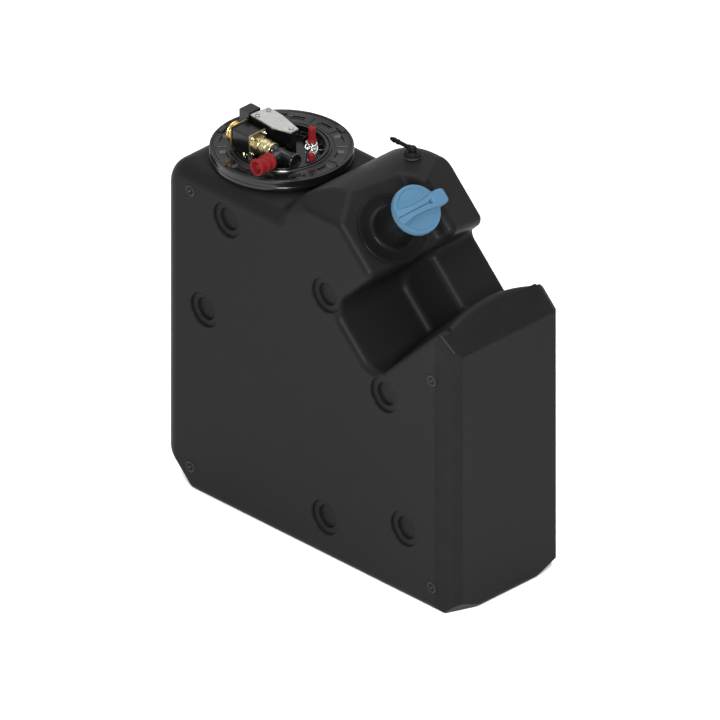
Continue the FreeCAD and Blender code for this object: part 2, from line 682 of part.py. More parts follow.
keep(rod("tall_port_form", 3.2, 42, "tall_port_x", "tall_port_y", "dish_floor_high"),
     "tall_port_stub")
tall_cap = turned("tall_cap", [
    ("0", "24"), ("3.4", "24"), ("5.4", "22"), ("5.4", "4"), ("7", "3"), ("7", "0"),
    ("3.2 + cap_clearance", "0"), ("3.2 + cap_clearance", "17"), ("0", "17")])
keep(place(tall_cap, "tall_port_x", "tall_port_y", "554"), "tall_port_cap")

keep(rod("small_port_form", 3, 16, "small_port_x", "small_port_y", "dish_floor_high"),
     "small_port_stub")
small_cap = turned("small_cap", [
    ("0", "14"), ("3.6", "14"), ("4.8", "12.6"), ("4.8", "0"), ("3 + cap_clearance", "0"),
    ("3 + cap_clearance", "9"), ("0", "9")])
keep(place(small_cap, "small_port_x", "small_port_y", "536"), "small_port_cap")

clips = []
for number, (height, outer) in enumerate([(535, 7.5), (542, 6.5), (549, 8)]):
    clip = turned(f"clip_{number}", ring_loop(3.2, outer, 0, 3))
    clips.append(place(clip, "tall_port_x", "tall_port_y", height))
small_clip = turned("small_clip", ring_loop(3, 5, 0, 3))
clips.append(place(small_clip, "small_port_x", "small_port_y", 530))
clips.append(box("clip_strip", (-121, 8, "dish_floor_high"), (-118.5, 14, 551)))
clips.append(box("clip_foot", (-118.4, 8, "dish_floor_high"), (-110, 14, 531)))
keep(group("clip_set", clips), "hose_clips")

fittings = []
for number, (x, y) in enumerate([(-190, -46), (-163, -51)]):
    hexagon = doc.addObject("Part::Prism", f"fitting_hex_{number}")
    hexagon.Polygon = 6
    hexagon.Circumradius = 6
    hexagon.Height = 6
    place(hexagon, x, y, "dish_floor_high")
    nipple = rod(f"fitting_nipple_{number}", 3.6, 5, x, y, "dish_floor_high + 6")
    fittings.append(join(f"fitting_{number}", [hexagon, nipple]))
keep(group("fitting_set", fittings), "brass_fittings")

# ---------------------------------------------------------------- under the header

suction = turned("suction_tube",
                 ring_loop("tube_radius - tube_wall", "tube_radius", "suction_foot + 30",
                           "dish_floor_low"))
keep(place(suction, "suction_x", "suction_y"), "suction_tube")
sock = turned("filter_sock", [
    ("0", "0"), ("11", "0"), ("13", "2"), ("13", "26"), ("tube_radius + 2", "30"), ("0", "30")])
keep(place(sock, "suction_x", "suction_y", "suction_foot"), "filter_sock")

keep(place(turned("return_tube", ring_loop(3, 4, 440, "dish_floor_low")), -150, 48),
     "return_tube")

loop_parts = [rod(f"loop_leg_{side}", "tube_radius", "dish_floor_low - loop_foot",
                  "loop_x", f"{side} * loop_half", "loop_foot") for side in (-1, 1)]
bend = doc.addObject("Part::Torus", "loop_bend")
bind(bend, Radius1="loop_half", Radius2="tube_radius")
bend.Angle3 = 180
place(bend, "loop_x", 0, "loop_foot",
      FreeCAD.Rotation(Vector(0, -1, 0), Vector(0, 0, -1), X_AXIS, "ZXY"))
keep(join("coolant_loop_form", loop_parts + [bend]), "coolant_loop")

keep(rod("stem_form", "stem_radius", "dish_floor_low - stem_foot", "stem_x", "stem_y",
         "stem_foot"), "sensor_stem")
stops = []
for number, height in enumerate(("float_rest - 4.4", "500")):
    stop = turned(f"stem_stop_{number}", ring_loop("stem_radius", "stem_radius + 4", 0, 4))
    stops.append(place(stop, "stem_x", "stem_y", height))
keep(group("stop_set", stops), "stem_stops")
level_float = turned("level_float", [
    ("stem_radius + 0.4", "0"), ("float_radius - 3", "0"), ("float_radius", "3"),
    ("float_radius", "float_height - 3"), ("float_radius - 3", "float_height"),
    ("stem_radius + 0.4", "float_height")])
keep(place(level_float, "stem_x", "stem_y", "float_rest"), "level_float")
keep(box("quality_form", ("stem_x - 12", "stem_y - 12", "stem_foot - 20"),
         ("stem_x + 12", "stem_y + 12", "stem_foot")), "quality_sensor")

# ---------------------------------------------------------------- filler neck and cap


def at_filler(item):
    """Stand a piece on the slanted filler pad, its own Z along the neck."""
    return place(item, *FILLER_FOOT, FILLER_TURN)


seal = turned("neck_seal", ring_loop("neck_bore", "neck_flange_radius - 4", 0, "seal_thick"))
keep(at_filler(seal), "neck_flange_seal")

NECK_BASE = "seal_thick + neck_flange_thick"
neck = turned("filler_neck", [
    ("neck_bore", "seal_thick"), ("neck_flange_radius", "seal_thick"),
    ("neck_flange_radius", NECK_BASE), ("neck_radius + 6", NECK_BASE),
    ("neck_radius", NECK_BASE + " + 8"), ("neck_radius", "neck_length"),
    ("neck_bore", "neck_length")])
keep(at_filler(neck), "filler_neck")

strainer = turned("strainer", [
    ("0", "-60"), ("21", "-60"), ("21", "24"), ("neck_bore", "26"), ("neck_bore", "30"),
    ("19.5", "30"), ("19.5", "-58.5"), ("0", "-58.5")])
keep(at_filler(strainer), "filler_strainer")

SEAL_TOP = "neck_length + cap_seal_thick"
PLUG_FOOT = "neck_length - plug_depth"
plug = turned("cap_plug", [
    ("6", PLUG_FOOT + " + 12"), ("10", PLUG_FOOT + " + 12"), ("10", SEAL_TOP + " - 3"),
    ("plug_radius - 2.5", SEAL_TOP + " - 3"), ("plug_radius - 2.5", PLUG_FOOT),
    ("plug_radius", PLUG_FOOT), ("plug_radius", SEAL_TOP), ("6", SEAL_TOP)])
keep(at_filler(plug), "cap_plug")
cap_seal = turned("cap_seal", ring_loop("plug_radius", "neck_radius + 2", "neck_length", SEAL_TOP))
keep(at_filler(cap_seal), "cap_seal")

CAP_LOW = "neck_length + cap_seal_thick + 0.3"
CAP_HIGH = CAP_LOW + " + cap_thick"
cap_disc = turned("cap_disc", [
    ("0", PLUG_FOOT + " + 14"), ("5.95", PLUG_FOOT + " + 14"), ("5.95", CAP_LOW),
    ("cap_radius - 3.5", CAP_LOW), ("cap_radius - 3.5", CAP_LOW + " - cap_skirt"),
    ("cap_radius", CAP_LOW + " - cap_skirt"), ("cap_radius", CAP_HIGH + " - 2"),
    ("cap_radius - 2", CAP_HIGH), ("0", CAP_HIGH)])
grip = padded("grip", [[
    ("-grip_half_end", "grip_reach - 6"), ("-grip_half_end + 3", "grip_reach"),
    ("grip_half_end - 3", "grip_reach"), ("grip_half_end", "grip_reach - 6"),
    ("grip_half_waist", "8"), ("grip_half_waist", "-cap_radius + 6"),
    ("-grip_half_waist", "-cap_radius + 6"), ("-grip_half_waist", "8")]], "grip_height + 3")
place(grip, z=CAP_HIGH + " - 3")
hole = rod("grip_hole", "grip_hole_radius", "grip_height + 10", 0, "grip_hole_offset",
           CAP_HIGH + " - 2")
slot = box("grip_slot", ("-0.8", "-cap_radius", CAP_HIGH + " + grip_height - 2"),
           ("0.8", "grip_hole_offset", CAP_HIGH + " + grip_height + 1"))
cap = subtract("cap_form", join("cap_solid", [cap_disc, grip]), join("cap_trims", [hole, slot]))
keep(at_filler(cap), "filler_cap")

# ---------------------------------------------------------------- vent

grommet = turned("grommet", [
    ("vent_tube_radius", "-7"), ("vent_tube_radius + 1.3", "-7"), ("vent_tube_radius + 1.3", "0"),
    ("10", "0"), ("10", "4"), ("vent_tube_radius", "4")])
keep(place(grommet, "vent_x", "vent_y", "block_top"), "vent_grommet")

VENT_AXIS = "block_top + vent_tube_height"
stack = turned("vent_stack", [
    ("0", "4"), ("vent_disc_radius", "4"), ("vent_disc_radius", "7"),
    ("vent_stack_radius", "8"), ("vent_stack_radius", "16"), ("vent_stack_radius - 2", "18"),
    ("0", "18")])
place(stack, "vent_x", "vent_y", "block_top")
spout = turned("vent_spout", [
    ("0", "0"), ("vent_tube_radius + 1", "0"), ("vent_tube_radius + 1", "vent_shoulder"),
    ("vent_tube_radius", "vent_shoulder"), ("vent_tube_radius", "vent_reach - 2"),
    ("vent_tube_radius - 0.8", "vent_reach"), ("0", "vent_reach")])
place(spout, "vent_x", "vent_y", VENT_AXIS, TO_MINUS_X)
keep(join("vent_form", [stack, spout]), "vent_elbow")

# ---------------------------------------------------------------- check and write

doc.recompute()
for item in doc.Objects:
    if "Invalid" in item.State or "Error" in item.State:
        raise RuntimeError(f"{item.Name} did not build: {item.State}")
os.makedirs("parts", exist_ok=True)
for item in pieces:
    if item.Shape.isNull() or not item.Shape.isValid():
        raise RuntimeError(f"{item.Label} has no valid shape")
    item.Shape.exportStep(f"parts/{item.Label}.step")
print(len(pieces), "sub-parts written")
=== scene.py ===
import json
import math

import bmesh
import bpy
import numpy as np
from mathutils import Matrix, Vector


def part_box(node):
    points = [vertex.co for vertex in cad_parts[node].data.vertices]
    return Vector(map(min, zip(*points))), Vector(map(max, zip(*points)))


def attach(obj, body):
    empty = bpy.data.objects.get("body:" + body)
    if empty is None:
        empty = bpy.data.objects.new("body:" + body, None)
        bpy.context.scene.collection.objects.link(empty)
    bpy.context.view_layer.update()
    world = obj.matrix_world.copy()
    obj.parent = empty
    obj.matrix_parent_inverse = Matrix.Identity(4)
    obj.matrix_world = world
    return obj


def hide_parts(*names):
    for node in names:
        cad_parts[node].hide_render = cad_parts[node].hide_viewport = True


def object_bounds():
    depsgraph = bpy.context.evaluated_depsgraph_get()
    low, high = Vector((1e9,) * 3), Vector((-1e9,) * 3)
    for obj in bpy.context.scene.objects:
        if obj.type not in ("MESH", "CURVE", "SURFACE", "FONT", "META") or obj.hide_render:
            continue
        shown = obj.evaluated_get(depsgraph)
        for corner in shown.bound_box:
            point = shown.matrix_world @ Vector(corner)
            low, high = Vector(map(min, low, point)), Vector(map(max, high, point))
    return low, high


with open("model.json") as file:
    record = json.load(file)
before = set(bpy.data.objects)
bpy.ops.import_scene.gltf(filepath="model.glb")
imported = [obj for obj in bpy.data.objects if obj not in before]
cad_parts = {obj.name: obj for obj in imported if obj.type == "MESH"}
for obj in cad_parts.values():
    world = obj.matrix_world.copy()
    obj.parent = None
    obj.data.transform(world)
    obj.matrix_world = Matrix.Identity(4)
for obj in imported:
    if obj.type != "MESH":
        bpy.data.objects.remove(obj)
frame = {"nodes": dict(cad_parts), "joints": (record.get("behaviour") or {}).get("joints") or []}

bl_info = {
    "name": "Moulded Fluid Tank",
    "version": (1, 0, 0),
    "blender": (4, 5, 0),
    "location": "View3D > Sidebar > Tank",
    "description": "Finishes and fine pieces of a moulded truck fluid tank",
    "category": "Object",
}

CAD_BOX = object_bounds()
MM = 0.001
TURN = 2 * math.pi

# ---------------------------------------------------------------- places read from the frame


def centre(node):
    """The middle of a CAD node's box."""
    low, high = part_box(node)
    return (low + high) / 2


def joint(name):
    """A joint of the frame by its name."""
    return next(item for item in frame["joints"] if item["name"] == name)


def standing_at(point, axis=(0, 0, 1), across=(0, 1, 0)):
    """A frame at a point with its own Z along an axis and its Y near a given direction."""
    up = Vector(axis).normalized()
    side = Vector(across).cross(up).normalized()
    ahead = up.cross(side)
    turn = Matrix((side, ahead, up)).transposed().to_4x4()
    return Matrix.Translation(Vector(point)) @ turn


CAP_JOINT = joint("cap_turn")
FILLER = standing_at(CAP_JOINT["pos_m"], CAP_JOINT["axis"])
RING_CENTRE = centre("lock_ring")
HEADER = standing_at((RING_CENTRE.x, RING_CENTRE.y, 0))
VALVE_Y = centre("valve_coil").y
VALVE_Z = centre("valve_coil").z
PORT_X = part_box("side_port_cap")[0].x + 12.6 * MM

# Places of pieces that share one CAD node: (x, y) of the upright ones, (x, z) of the inserts.
SCREW_SPOTS = ((-0.191, -0.018), (-0.191, 0.004), (-0.132, -0.0105))
FITTING_SPOTS = ((-0.190, -0.046), (-0.163, -0.051))
INSERT_SPOTS = ((-0.234, 0.482), (-0.234, 0.036), (0.244, 0.370), (0.244, 0.036))


# ---------------------------------------------------------------- shader writing

def plug_in(tree, slot, item):
    """Link a signal to a socket, or set the socket's value."""
    if isinstance(item, Signal):
        tree.links.new(item.socket, slot)
    else:
        slot.default_value = item


class Signal:
    """A shader socket; arithmetic on it adds Math nodes."""

    def __init__(self, tree, socket):
        self.tree = tree
        self.socket = socket

    def _math(self, operation, *values):
        node = self.tree.nodes.new("ShaderNodeMath")
        node.operation = operation
        for slot, item in zip(node.inputs, values):
            plug_in(self.tree, slot, item)
        return Signal(self.tree, node.outputs[0])

    def __add__(self, other):
        return self._math("ADD", self, other)

    def __radd__(self, other):
        return self._math("ADD", other, self)

    def __sub__(self, other):
        return self._math("SUBTRACT", self, other)

    def __rsub__(self, other):
        return self._math("SUBTRACT", other, self)

    def __mul__(self, other):
        return self._math("MULTIPLY", self, other)

    def __abs__(self):
        return self._math("ABSOLUTE", self)

    def sine(self):
        return self._math("SINE", self)

    def between(self, low, high):
        """0 below low, 1 above high, and a smooth rise between them."""
        node = self.tree.nodes.new("ShaderNodeMapRange")
        node.interpolation_type = "SMOOTHSTEP"
        self.tree.links.new(self.socket, node.inputs["Value"])
        node.inputs["From Min"].default_value = low
        node.inputs["From Max"].default_value = high
        return Signal(self.tree, node.outputs["Result"])


class Finish:
    """One procedural material being written."""

    def __init__(self, name, **shader_values):
        self.material = bpy.data.materials.new(name)
        self.material.use_nodes = True
        self.tree = self.material.node_tree
        self.shader = self.tree.nodes["Principled BSDF"]
        self.feed(**shader_values)

    def node(self, kind, output=0, **inputs):
        """Any node, with the values or links of its sockets."""
        made = self.tree.nodes.new(kind)
        for key, item in inputs.items():
            plug_in(self.tree, made.inputs[key.replace("_", " ")], item)
        return Signal(self.tree, made.outputs[output])

    def feed(self, **inputs):
        """Set or link sockets of the surface shader."""
        for key, item in inputs.items():
            plug_in(self.tree, self.shader.inputs[key.replace("_", " ")], item)

    def place(self):
        """A position in the object's own space."""
        return self.node("ShaderNodeTexCoord", output="Object")

    def axis(self, letter):
        """One coordinate of the object's own space, in metres."""
        return self.node("ShaderNodeSeparateXYZ", output=letter, Vector=self.place())

    def stretched(self, scale):
        """The position, scaled along each axis."""
        return self.node("ShaderNodeMapping", Vector=self.place(), Scale=scale)

    def noise(self, scale, detail=3.0, rough=0.5, where=None):
        """Fractal noise between 0 and 1."""
        return self.node("ShaderNodeTexNoise", Vector=where or self.place(), Scale=scale,
                         Detail=detail, Roughness=rough)

    def cells(self, scale):
        """Distance to the nearest cell centre of a Voronoi pattern."""
        return self.node("ShaderNodeTexVoronoi", Vector=self.place(), Scale=scale)

    def blend(self, amount, first, second):
        """A colour part of the way from the first to the second."""
        made = self.tree.nodes.new("ShaderNodeMix")
        made.data_type = "RGBA"
        self.tree.links.new(amount.socket, made.inputs[0])
        for slot, item in ((made.inputs[6], first), (made.inputs[7], second)):
            plug_in(self.tree, slot, item if isinstance(item, Signal) else (*item, 1.0)[:4])
        return Signal(self.tree, made.outputs[2])

    def bump(self, height, strength=0.3, distance=0.0005):
        """Tilt the shading by a height signal."""
        self.feed(Normal=self.node("ShaderNodeBump", output="Normal", Height=height,
                                   Strength=strength, Distance=distance))

    def pits(self):
        """Where the surface is hollow, from how sharply it turns."""
        return self.node("ShaderNodeNewGeometry", output="Pointiness")


def shade(colour, factor):
    """A colour made darker or lighter."""
    return tuple(part * factor for part in colour[:3])


def moulded_plastic(name, colour, roughness=0.5, grain=1400.0, depth=0.12, dust=0.1,
                    gloss=0.06):
    """Pigmented moulding: fine leather grain, soft flow marks, scuffed edges and a little dust."""
    finish = Finish(name, IOR=1.46, Specular_IOR_Level=gloss)
    flow = finish.noise(9.0, 4.0, 0.6)
    specks = finish.cells(grain)
    fine = finish.noise(grain * 0.6, 2.0)
    scuffs = finish.noise(55.0, 6.0, 0.7, finish.stretched((1.0, 1.0, 0.25)))
    edges = finish.pits().between(0.52, 0.58)
    base = finish.blend(flow.between(0.3, 0.7), shade(colour, 0.93), shade(colour, 1.07))
    worn = finish.blend(edges * scuffs.between(0.45, 0.7) * 0.5, base, shade(colour, 1.7))
    settled = scuffs.between(0.55, 0.8) * dust
    finish.feed(Base_Color=finish.blend(settled, worn, shade(colour, 1.5)),
                Roughness=roughness + (flow - 0.5) * 0.12 + (fine - 0.5) * 0.08)
    finish.bump(specks * 0.5 + fine * 0.5, depth, 0.0003)
    return finish.material


def tank_plastic(name, colour):
    """The tank's own skin: grained moulding with the mould's parting line along its middle."""
    finish = Finish(name, IOR=1.46, Specular_IOR_Level=0.06)
    flow = finish.noise(5.0, 4.0, 0.55)
    cloud = finish.noise(28.0, 5.0, 0.65)
    specks = finish.cells(1500.0)
    fine = finish.noise(900.0, 2.0)
    parting = 1 - abs(finish.axis("Y")).between(0.0003, 0.0009)
    edges = finish.pits().between(0.515, 0.57)
    scuffs = finish.noise(70.0, 6.0, 0.75, finish.stretched((1.0, 1.0, 0.2)))
    base = finish.blend(flow.between(0.25, 0.75), shade(colour, 0.95), shade(colour, 1.05))
    worn = finish.blend(edges * cloud.between(0.4, 0.7) * 0.35, base, shade(colour, 1.6))
    dusty = finish.blend(scuffs.between(0.6, 0.85) * 0.15, worn, shade(colour, 1.5))
    finish.feed(Base_Color=finish.blend(parting * 0.3, dusty, shade(colour, 0.6)),
                Roughness=0.44 + (flow - 0.5) * 0.1 + (cloud - 0.5) * 0.1)
    finish.bump(specks * 0.35 + fine * 0.35 + parting * 0.8, 0.14, 0.0004)
    return finish.material


def metal(name, colour, roughness=0.3, streak=(1.0, 1.0, 1.0), tarnish=0.4):
    """Machined or drawn metal: tool streaks along the piece, tarnish and fingerprints, and painted
    shade darkening it where the surface turns inwards.
    """
    finish = Finish(name, Metallic=1.0)
    streaks = finish.noise(420.0, 4.0, 0.6, finish.stretched(streak))
    blotch = finish.noise(60.0, 5.0, 0.65)
    # painted shade: where the surface turns inwards, in creases and recesses, the colour is
    # darkened towards a third of itself
    painted_hollow_shade = 1 - finish.pits().between(0.44, 0.5)
    bright = finish.blend(streaks.between(0.3, 0.7), shade(colour, 0.88), shade(colour, 1.08))
    stained = finish.blend(blotch.between(0.5, 0.8) * tarnish, bright, shade(colour, 0.55))
    finish.feed(Base_Color=finish.blend(painted_hollow_shade * 0.7, stained, shade(colour, 0.35)),
                Roughness=roughness + (streaks - 0.5) * 0.16 + blotch.between(0.5, 0.9) * 0.15)
    finish.bump(streaks, 0.08, 0.0002)
    return finish.material


def rubber(name, colour, roughness=0.8):
    """Matt moulded rubber with bloom and a fine skin."""
    finish = Finish(name, IOR=1.5)
    bloom = finish.noise(80.0, 5.0, 0.7)
    skin = finish.noise(1600.0, 2.0)
    finish.feed(Base_Color=finish.blend(bloom.between(0.45, 0.8) * 0.5, colour,
                                        shade(colour, 1.6)),
                Roughness=roughness + (bloom - 0.5) * 0.2)
    finish.bump(skin, 0.2, 0.0003)
    return finish.material


def woven_mesh(name, colour):
    """A fine strainer cloth: two sets of wires that cross."""
    finish = Finish(name)
    rise = (finish.axis("Z") * 5200.0).sine()
    run = ((finish.axis("X") + finish.axis("Y")) * 5200.0).sine()
    weave = (rise * run).between(-0.4, 0.6)
    stain = finish.noise(45.0, 4.0)
    wires = finish.blend(weave, shade(colour, 0.4), colour)
    finish.feed(Base_Color=finish.blend(stain.between(0.5, 0.8) * 0.4, wires,
                                        shade(colour, 0.6)),
                Roughness=0.6 + (stain - 0.5) * 0.2)
    finish.bump(weave, 0.5, 0.0003)
    return finish.material


# ---------------------------------------------------------------- surfaces

def add_mesh(name, points, quads, body, material, replaces=()):
    """Put points and faces into a new smooth object that rides on a body. It may replace the
    CAD nodes named."""
    mesh = bpy.data.meshes.new(name)
    mesh.from_pydata(points.tolist(), [], quads)
    mesh.validate()
    mesh.polygons.foreach_set("use_smooth", np.full(len(mesh.polygons), True))
    mesh.materials.append(material)
    piece = bpy.data.objects.new(name, mesh)
    bpy.context.scene.collection.objects.link(piece)
    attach(piece, body)
    if replaces:
        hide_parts(*replaces)
    return piece


def sheet_faces(rows, columns, wrap_rows=False, start=0):
    """Quads over a grid of points, closed round its columns, and round its rows if asked."""
    last_row = rows if wrap_rows else rows - 1
    row, column = np.meshgrid(np.arange(last_row), np.arange(columns), indexing="ij")
    below = (row + 1) % rows
    beside = (column + 1) % columns
    quads = np.stack([row * columns + column, row * columns + beside,
                      below * columns + beside, below * columns + column], axis=-1)
    return (quads.reshape(-1, 4) + start).tolist()


def capped_faces(rows, columns, start=0):
    """Quads over a grid of rings, with its first and its last ring closed by one face each."""
    quads = sheet_faces(rows, columns, start=start)
    quads.append(list(range(start, start + columns))[::-1])
    quads.append(list(range(start + (rows - 1) * columns, start + rows * columns)))
    return quads


def moved(points, matrix):
    """Points carried by a 4 x 4 matrix."""
    turn = np.array(matrix)
    return points @ turn[:3, :3].T + turn[:3, 3]


def eased(profile, radius=0.0004, steps=4):
    """A half section whose corners are rounded: each becomes a short quadratic curve that
    starts and ends a given distance from it, or under half of its shorter side."""
    corners = np.asarray(profile, float)
    before = np.roll(corners, 1, axis=0) - corners
    after = np.roll(corners, -1, axis=0) - corners
    long_before = np.linalg.norm(before, axis=1, keepdims=True)
    long_after = np.linalg.norm(after, axis=1, keepdims=True)
    cut = np.minimum(radius, 0.45 * np.minimum(long_before, long_after))
    enter = corners + before / long_before * cut
    leave = corners + after / long_after * cut
    along = np.linspace(0, 1, steps)[None, :, None]
    curve = ((1 - along) ** 2 * enter[:, None] + 2 * along * (1 - along) * corners[:, None]
             + along ** 2 * leave[:, None])
    return curve.reshape(-1, 2)


def lathe_points(profile, segments, ripple=None, sink=None):
    """A closed half section of (radius, height) carried round the Z axis. The ripple, a function
    of angle, radius and height, is added to the radius, and the sink to the height."""
    angle = np.arange(segments) * TURN / segments
    radius = np.repeat(profile[:, :1], segments, axis=1)
    height = np.repeat(profile[:, 1:], segments, axis=1)
    if ripple is not None:
        radius = radius + ripple(angle[None, :], radius, height)
    if sink is not None:
        height = height + sink(angle[None, :], radius, height)
    return np.stack([radius * np.cos(angle), radius * np.sin(angle), height], axis=-1)


def lathe(name, profile, matrix, body, material, segments=96, ripple=None, sink=None,
          ease=0.0004, replaces=()):
    """A turned piece from a closed half section in metres that runs anticlockwise.

    Each corner is eased, then every point of the section is carried round the axis in equal
    steps. Points on the axis are held 0.02 mm off it, so the piece closes round a hair-thin
    core."""
    section = eased(profile, ease)
    section[:, 0] = np.maximum(section[:, 0], 0.02 * MM)
    grid = lathe_points(section, segments, ripple, sink)
    quads = sheet_faces(len(grid), segments, wrap_rows=True)
    return add_mesh(name, moved(grid.reshape(-1, 3), matrix), quads, body, material, replaces)


def millimetres(*points):
    """A half section given in millimetres, in metres."""
    return [(across * MM, up * MM) for across, up in points]


def tube_grid(route, radius, segments=24, closed=False):
    """A circle carried along a route. At each point its plane is square to the route's direction,
    with one side kept near the world's least-used axis."""
    route = np.asarray(route, float)
    ahead = np.roll(route, -1, axis=0) - np.roll(route, 1, axis=0)
    if not closed:
        ahead[0] = route[1] - route[0]
        ahead[-1] = route[-1] - route[-2]
    ahead = ahead / np.linalg.norm(ahead, axis=1, keepdims=True)
    spare = np.zeros(3)
    spare[np.argmin(np.abs(ahead).max(axis=0))] = 1.0
    side = np.cross(ahead, spare)
    side = side / np.linalg.norm(side, axis=1, keepdims=True)
    up = np.cross(ahead, side)
    angle = np.arange(segments) * TURN / segments
    radius = np.broadcast_to(np.asarray(radius, float), (len(route),))
    ring = (np.cos(angle)[None, :, None] * side[:, None] +
            np.sin(angle)[None, :, None] * up[:, None])
    return route[:, None] + ring * radius[:, None, None]


def tube(name, route, radius, matrix, body, material, segments=20, closed=False):
    """A round bar along a route, with flat ends unless the route is a loop."""
    grid = tube_grid(route, radius, segments, closed)
    if closed:
        quads = sheet_faces(len(grid), segments, wrap_rows=True)
    else:
        quads = capped_faces(len(grid), segments)
    piece = add_mesh(name, moved(grid.reshape(-1, 3), matrix), quads, body, material)
    turn_outwards(piece)
    return piece


def turn_outwards(piece):
    """Make every face of a closed piece point outwards."""
    work = bmesh.new()
    work.from_mesh(piece.data)
    bmesh.ops.recalc_face_normals(work, faces=work.faces)
    work.to_mesh(piece.data)
    work.free()


# ---------------------------------------------------------------- settings


class TankFinishSettings(bpy.types.PropertyGroup):
    tank_colour: bpy.props.FloatVectorProperty(
        name="Tank", description="Pigment of the moulded tank", subtype="COLOR", size=3,
        min=0, max=1, default=(0.0056, 0.0056, 0.0057))
    ring_colour: bpy.props.FloatVectorProperty(
        name="Header", description="Pigment of the lock ring", subtype="COLOR",
        size=3, min=0, max=1, default=(0.0035, 0.0035, 0.0037))
    cap_colour: bpy.props.FloatVectorProperty(
        name="Filler cap", description="Pigment of the filler cap", subtype="COLOR", size=3,
        min=0, max=1, default=(0.036, 0.082, 0.13))
    red_colour: bpy.props.FloatVectorProperty(
        name="Port caps", description="Pigment of the port caps", subtype="COLOR", size=3,
        min=0, max=1, default=(0.1, 0.006, 0.007))


class TankStageSettings(bpy.types.PropertyGroup):
    view_height: bpy.props.FloatProperty(
        name="View height", description="Height of the camera's view", unit="LENGTH",
        default=1.008)
    azimuth: bpy.props.FloatProperty(
        name="Azimuth", description="Direction the camera looks from", unit="ROTATION",
        default=math.radians(45))
    elevation: bpy.props.FloatProperty(
        name="Elevation", description="Angle of the camera above the floor", unit="ROTATION",
        default=math.radians(30))


# ---------------------------------------------------------------- finishes of the CAD nodes

FINISHES = {}


def dress(node, material):
    """Give a CAD node its finish."""
    for slot in frame["nodes"][node].material_slots:
        slot.material = material


def soften(node, width):
    """Take the sharp edges off a CAD node with a narrow bevel."""
    bevel = frame["nodes"][node].modifiers.new("edges", "BEVEL")
    bevel.width = width
    bevel.segments = 2
    bevel.limit_method = "ANGLE"
    bevel.angle_limit = math.radians(40)
    bevel.use_clamp_overlap = True


class TANK_OT_finishes(bpy.types.Operator):
    """Write every finish and put it on the CAD nodes"""
    bl_idname = "tank.finishes"
    bl_label = "Finishes"

    def execute(self, context):
        look = context.scene.tank_finish
        tank, ring = tuple(look.tank_colour), tuple(look.ring_colour)
        FINISHES.update({
            "tank": tank_plastic("grained tank plastic", tank),
            "neck": moulded_plastic("neck plastic", shade(tank, 0.6), 0.34, 1600.0, 0.08),
            "dark": moulded_plastic("dark header plastic", (0.0022, 0.0022, 0.0024), 0.2, 1800.0,
                                    0.04, gloss=0.3),
            "ring": moulded_plastic("lock ring plastic", ring, 0.2, 1500.0, 0.04, gloss=0.32),
            "inner": moulded_plastic("tube plastic", (0.03, 0.03, 0.03), 0.4),
            "blue": moulded_plastic("blue cap plastic", tuple(look.cap_colour), 0.5, 1500.0,
                                    0.1, 0.25),
            "red": moulded_plastic("red cap plastic", tuple(look.red_colour), 0.4, 1700.0, 0.06),
            "rubber": rubber("black rubber", (0.013, 0.013, 0.013)),
            "orange": rubber("orange seal rubber", (0.72, 0.3, 0.08), 0.6),
            "brass": metal("machined brass", (0.3, 0.26, 0.145), 0.32, (0.1, 1.0, 1.0)),
            "fitting": metal("plated fitting", (0.72, 0.64, 0.42), 0.25, (1.0, 1.0, 0.3), 0.2),
            "gold": metal("yellow plated steel", (0.66, 0.42, 0.13), 0.26, (1.0, 1.0, 0.2)),
            "frame": metal("pale plated steel", (0.24, 0.205, 0.115), 0.4, (1.0, 1.0, 0.2)),
            "bright": metal("bright plated steel", (0.72, 0.72, 0.71), 0.24, (1.0, 0.1, 1.0), 0.2),
            "plate": metal("matt cover plate", (0.33, 0.327, 0.32), 0.5, (0.4, 1.0, 1.0),
                           0.06),
            "steel": metal("screw steel", (0.2, 0.2, 0.205), 0.32),
            "oxide": metal("black oxide steel", (0.05, 0.05, 0.052), 0.45),
            "mesh": woven_mesh("strainer cloth", (0.7, 0.7, 0.66)),
        })
        wearing = {
            "tank": ["tank_shell"], "neck": ["filler_neck", "vent_elbow"],
            "dark": ["header_plate", "support_webs", "valve_coil", "coil_cap", "valve_barrel",
                     "sensor_housing", "connector_box", "mouth_collar", "cap_plug"],
            "ring": ["lock_ring"], "blue": ["filler_cap"],
            "red": ["side_port_cap", "tall_port_cap", "small_port_cap"],
            "rubber": ["header_gasket", "neck_flange_seal", "vent_grommet"],
            "orange": ["cap_seal"], "brass": ["valve_body", "brass_fittings"],
            "gold": ["coil_end_rings"], "frame": ["coil_frame"],
            "bright": ["hose_clips", "tall_port_stub", "small_port_stub"],
            "plate": ["cover_plate"],
            "steel": ["cover_screws", "coolant_loop", "sensor_stem"],
            "oxide": ["mounting_inserts"], "mesh": ["filter_sock", "filler_strainer"],
            "inner": ["suction_tube", "return_tube", "stem_stops", "level_float",
                      "quality_sensor"],
        }
        for finish, nodes in wearing.items():
            for node in nodes:
                dress(node, FINISHES[finish])
        for node, width in (("sensor_housing", 1.2), ("connector_box", 1.0), ("coil_frame", 0.5),
                            ("cover_plate", 0.5), ("support_webs", 0.6)):
            soften(node, width * MM)
        return {"FINISHED"}


# ---------------------------------------------------------------- fine pieces


def smooth(level):
    """0 below 0, 1 above 1 and level squared times (3 - 2 level) between them."""
    level = np.clip(level, 0, 1)
    return level * level * (3 - 2 * level)


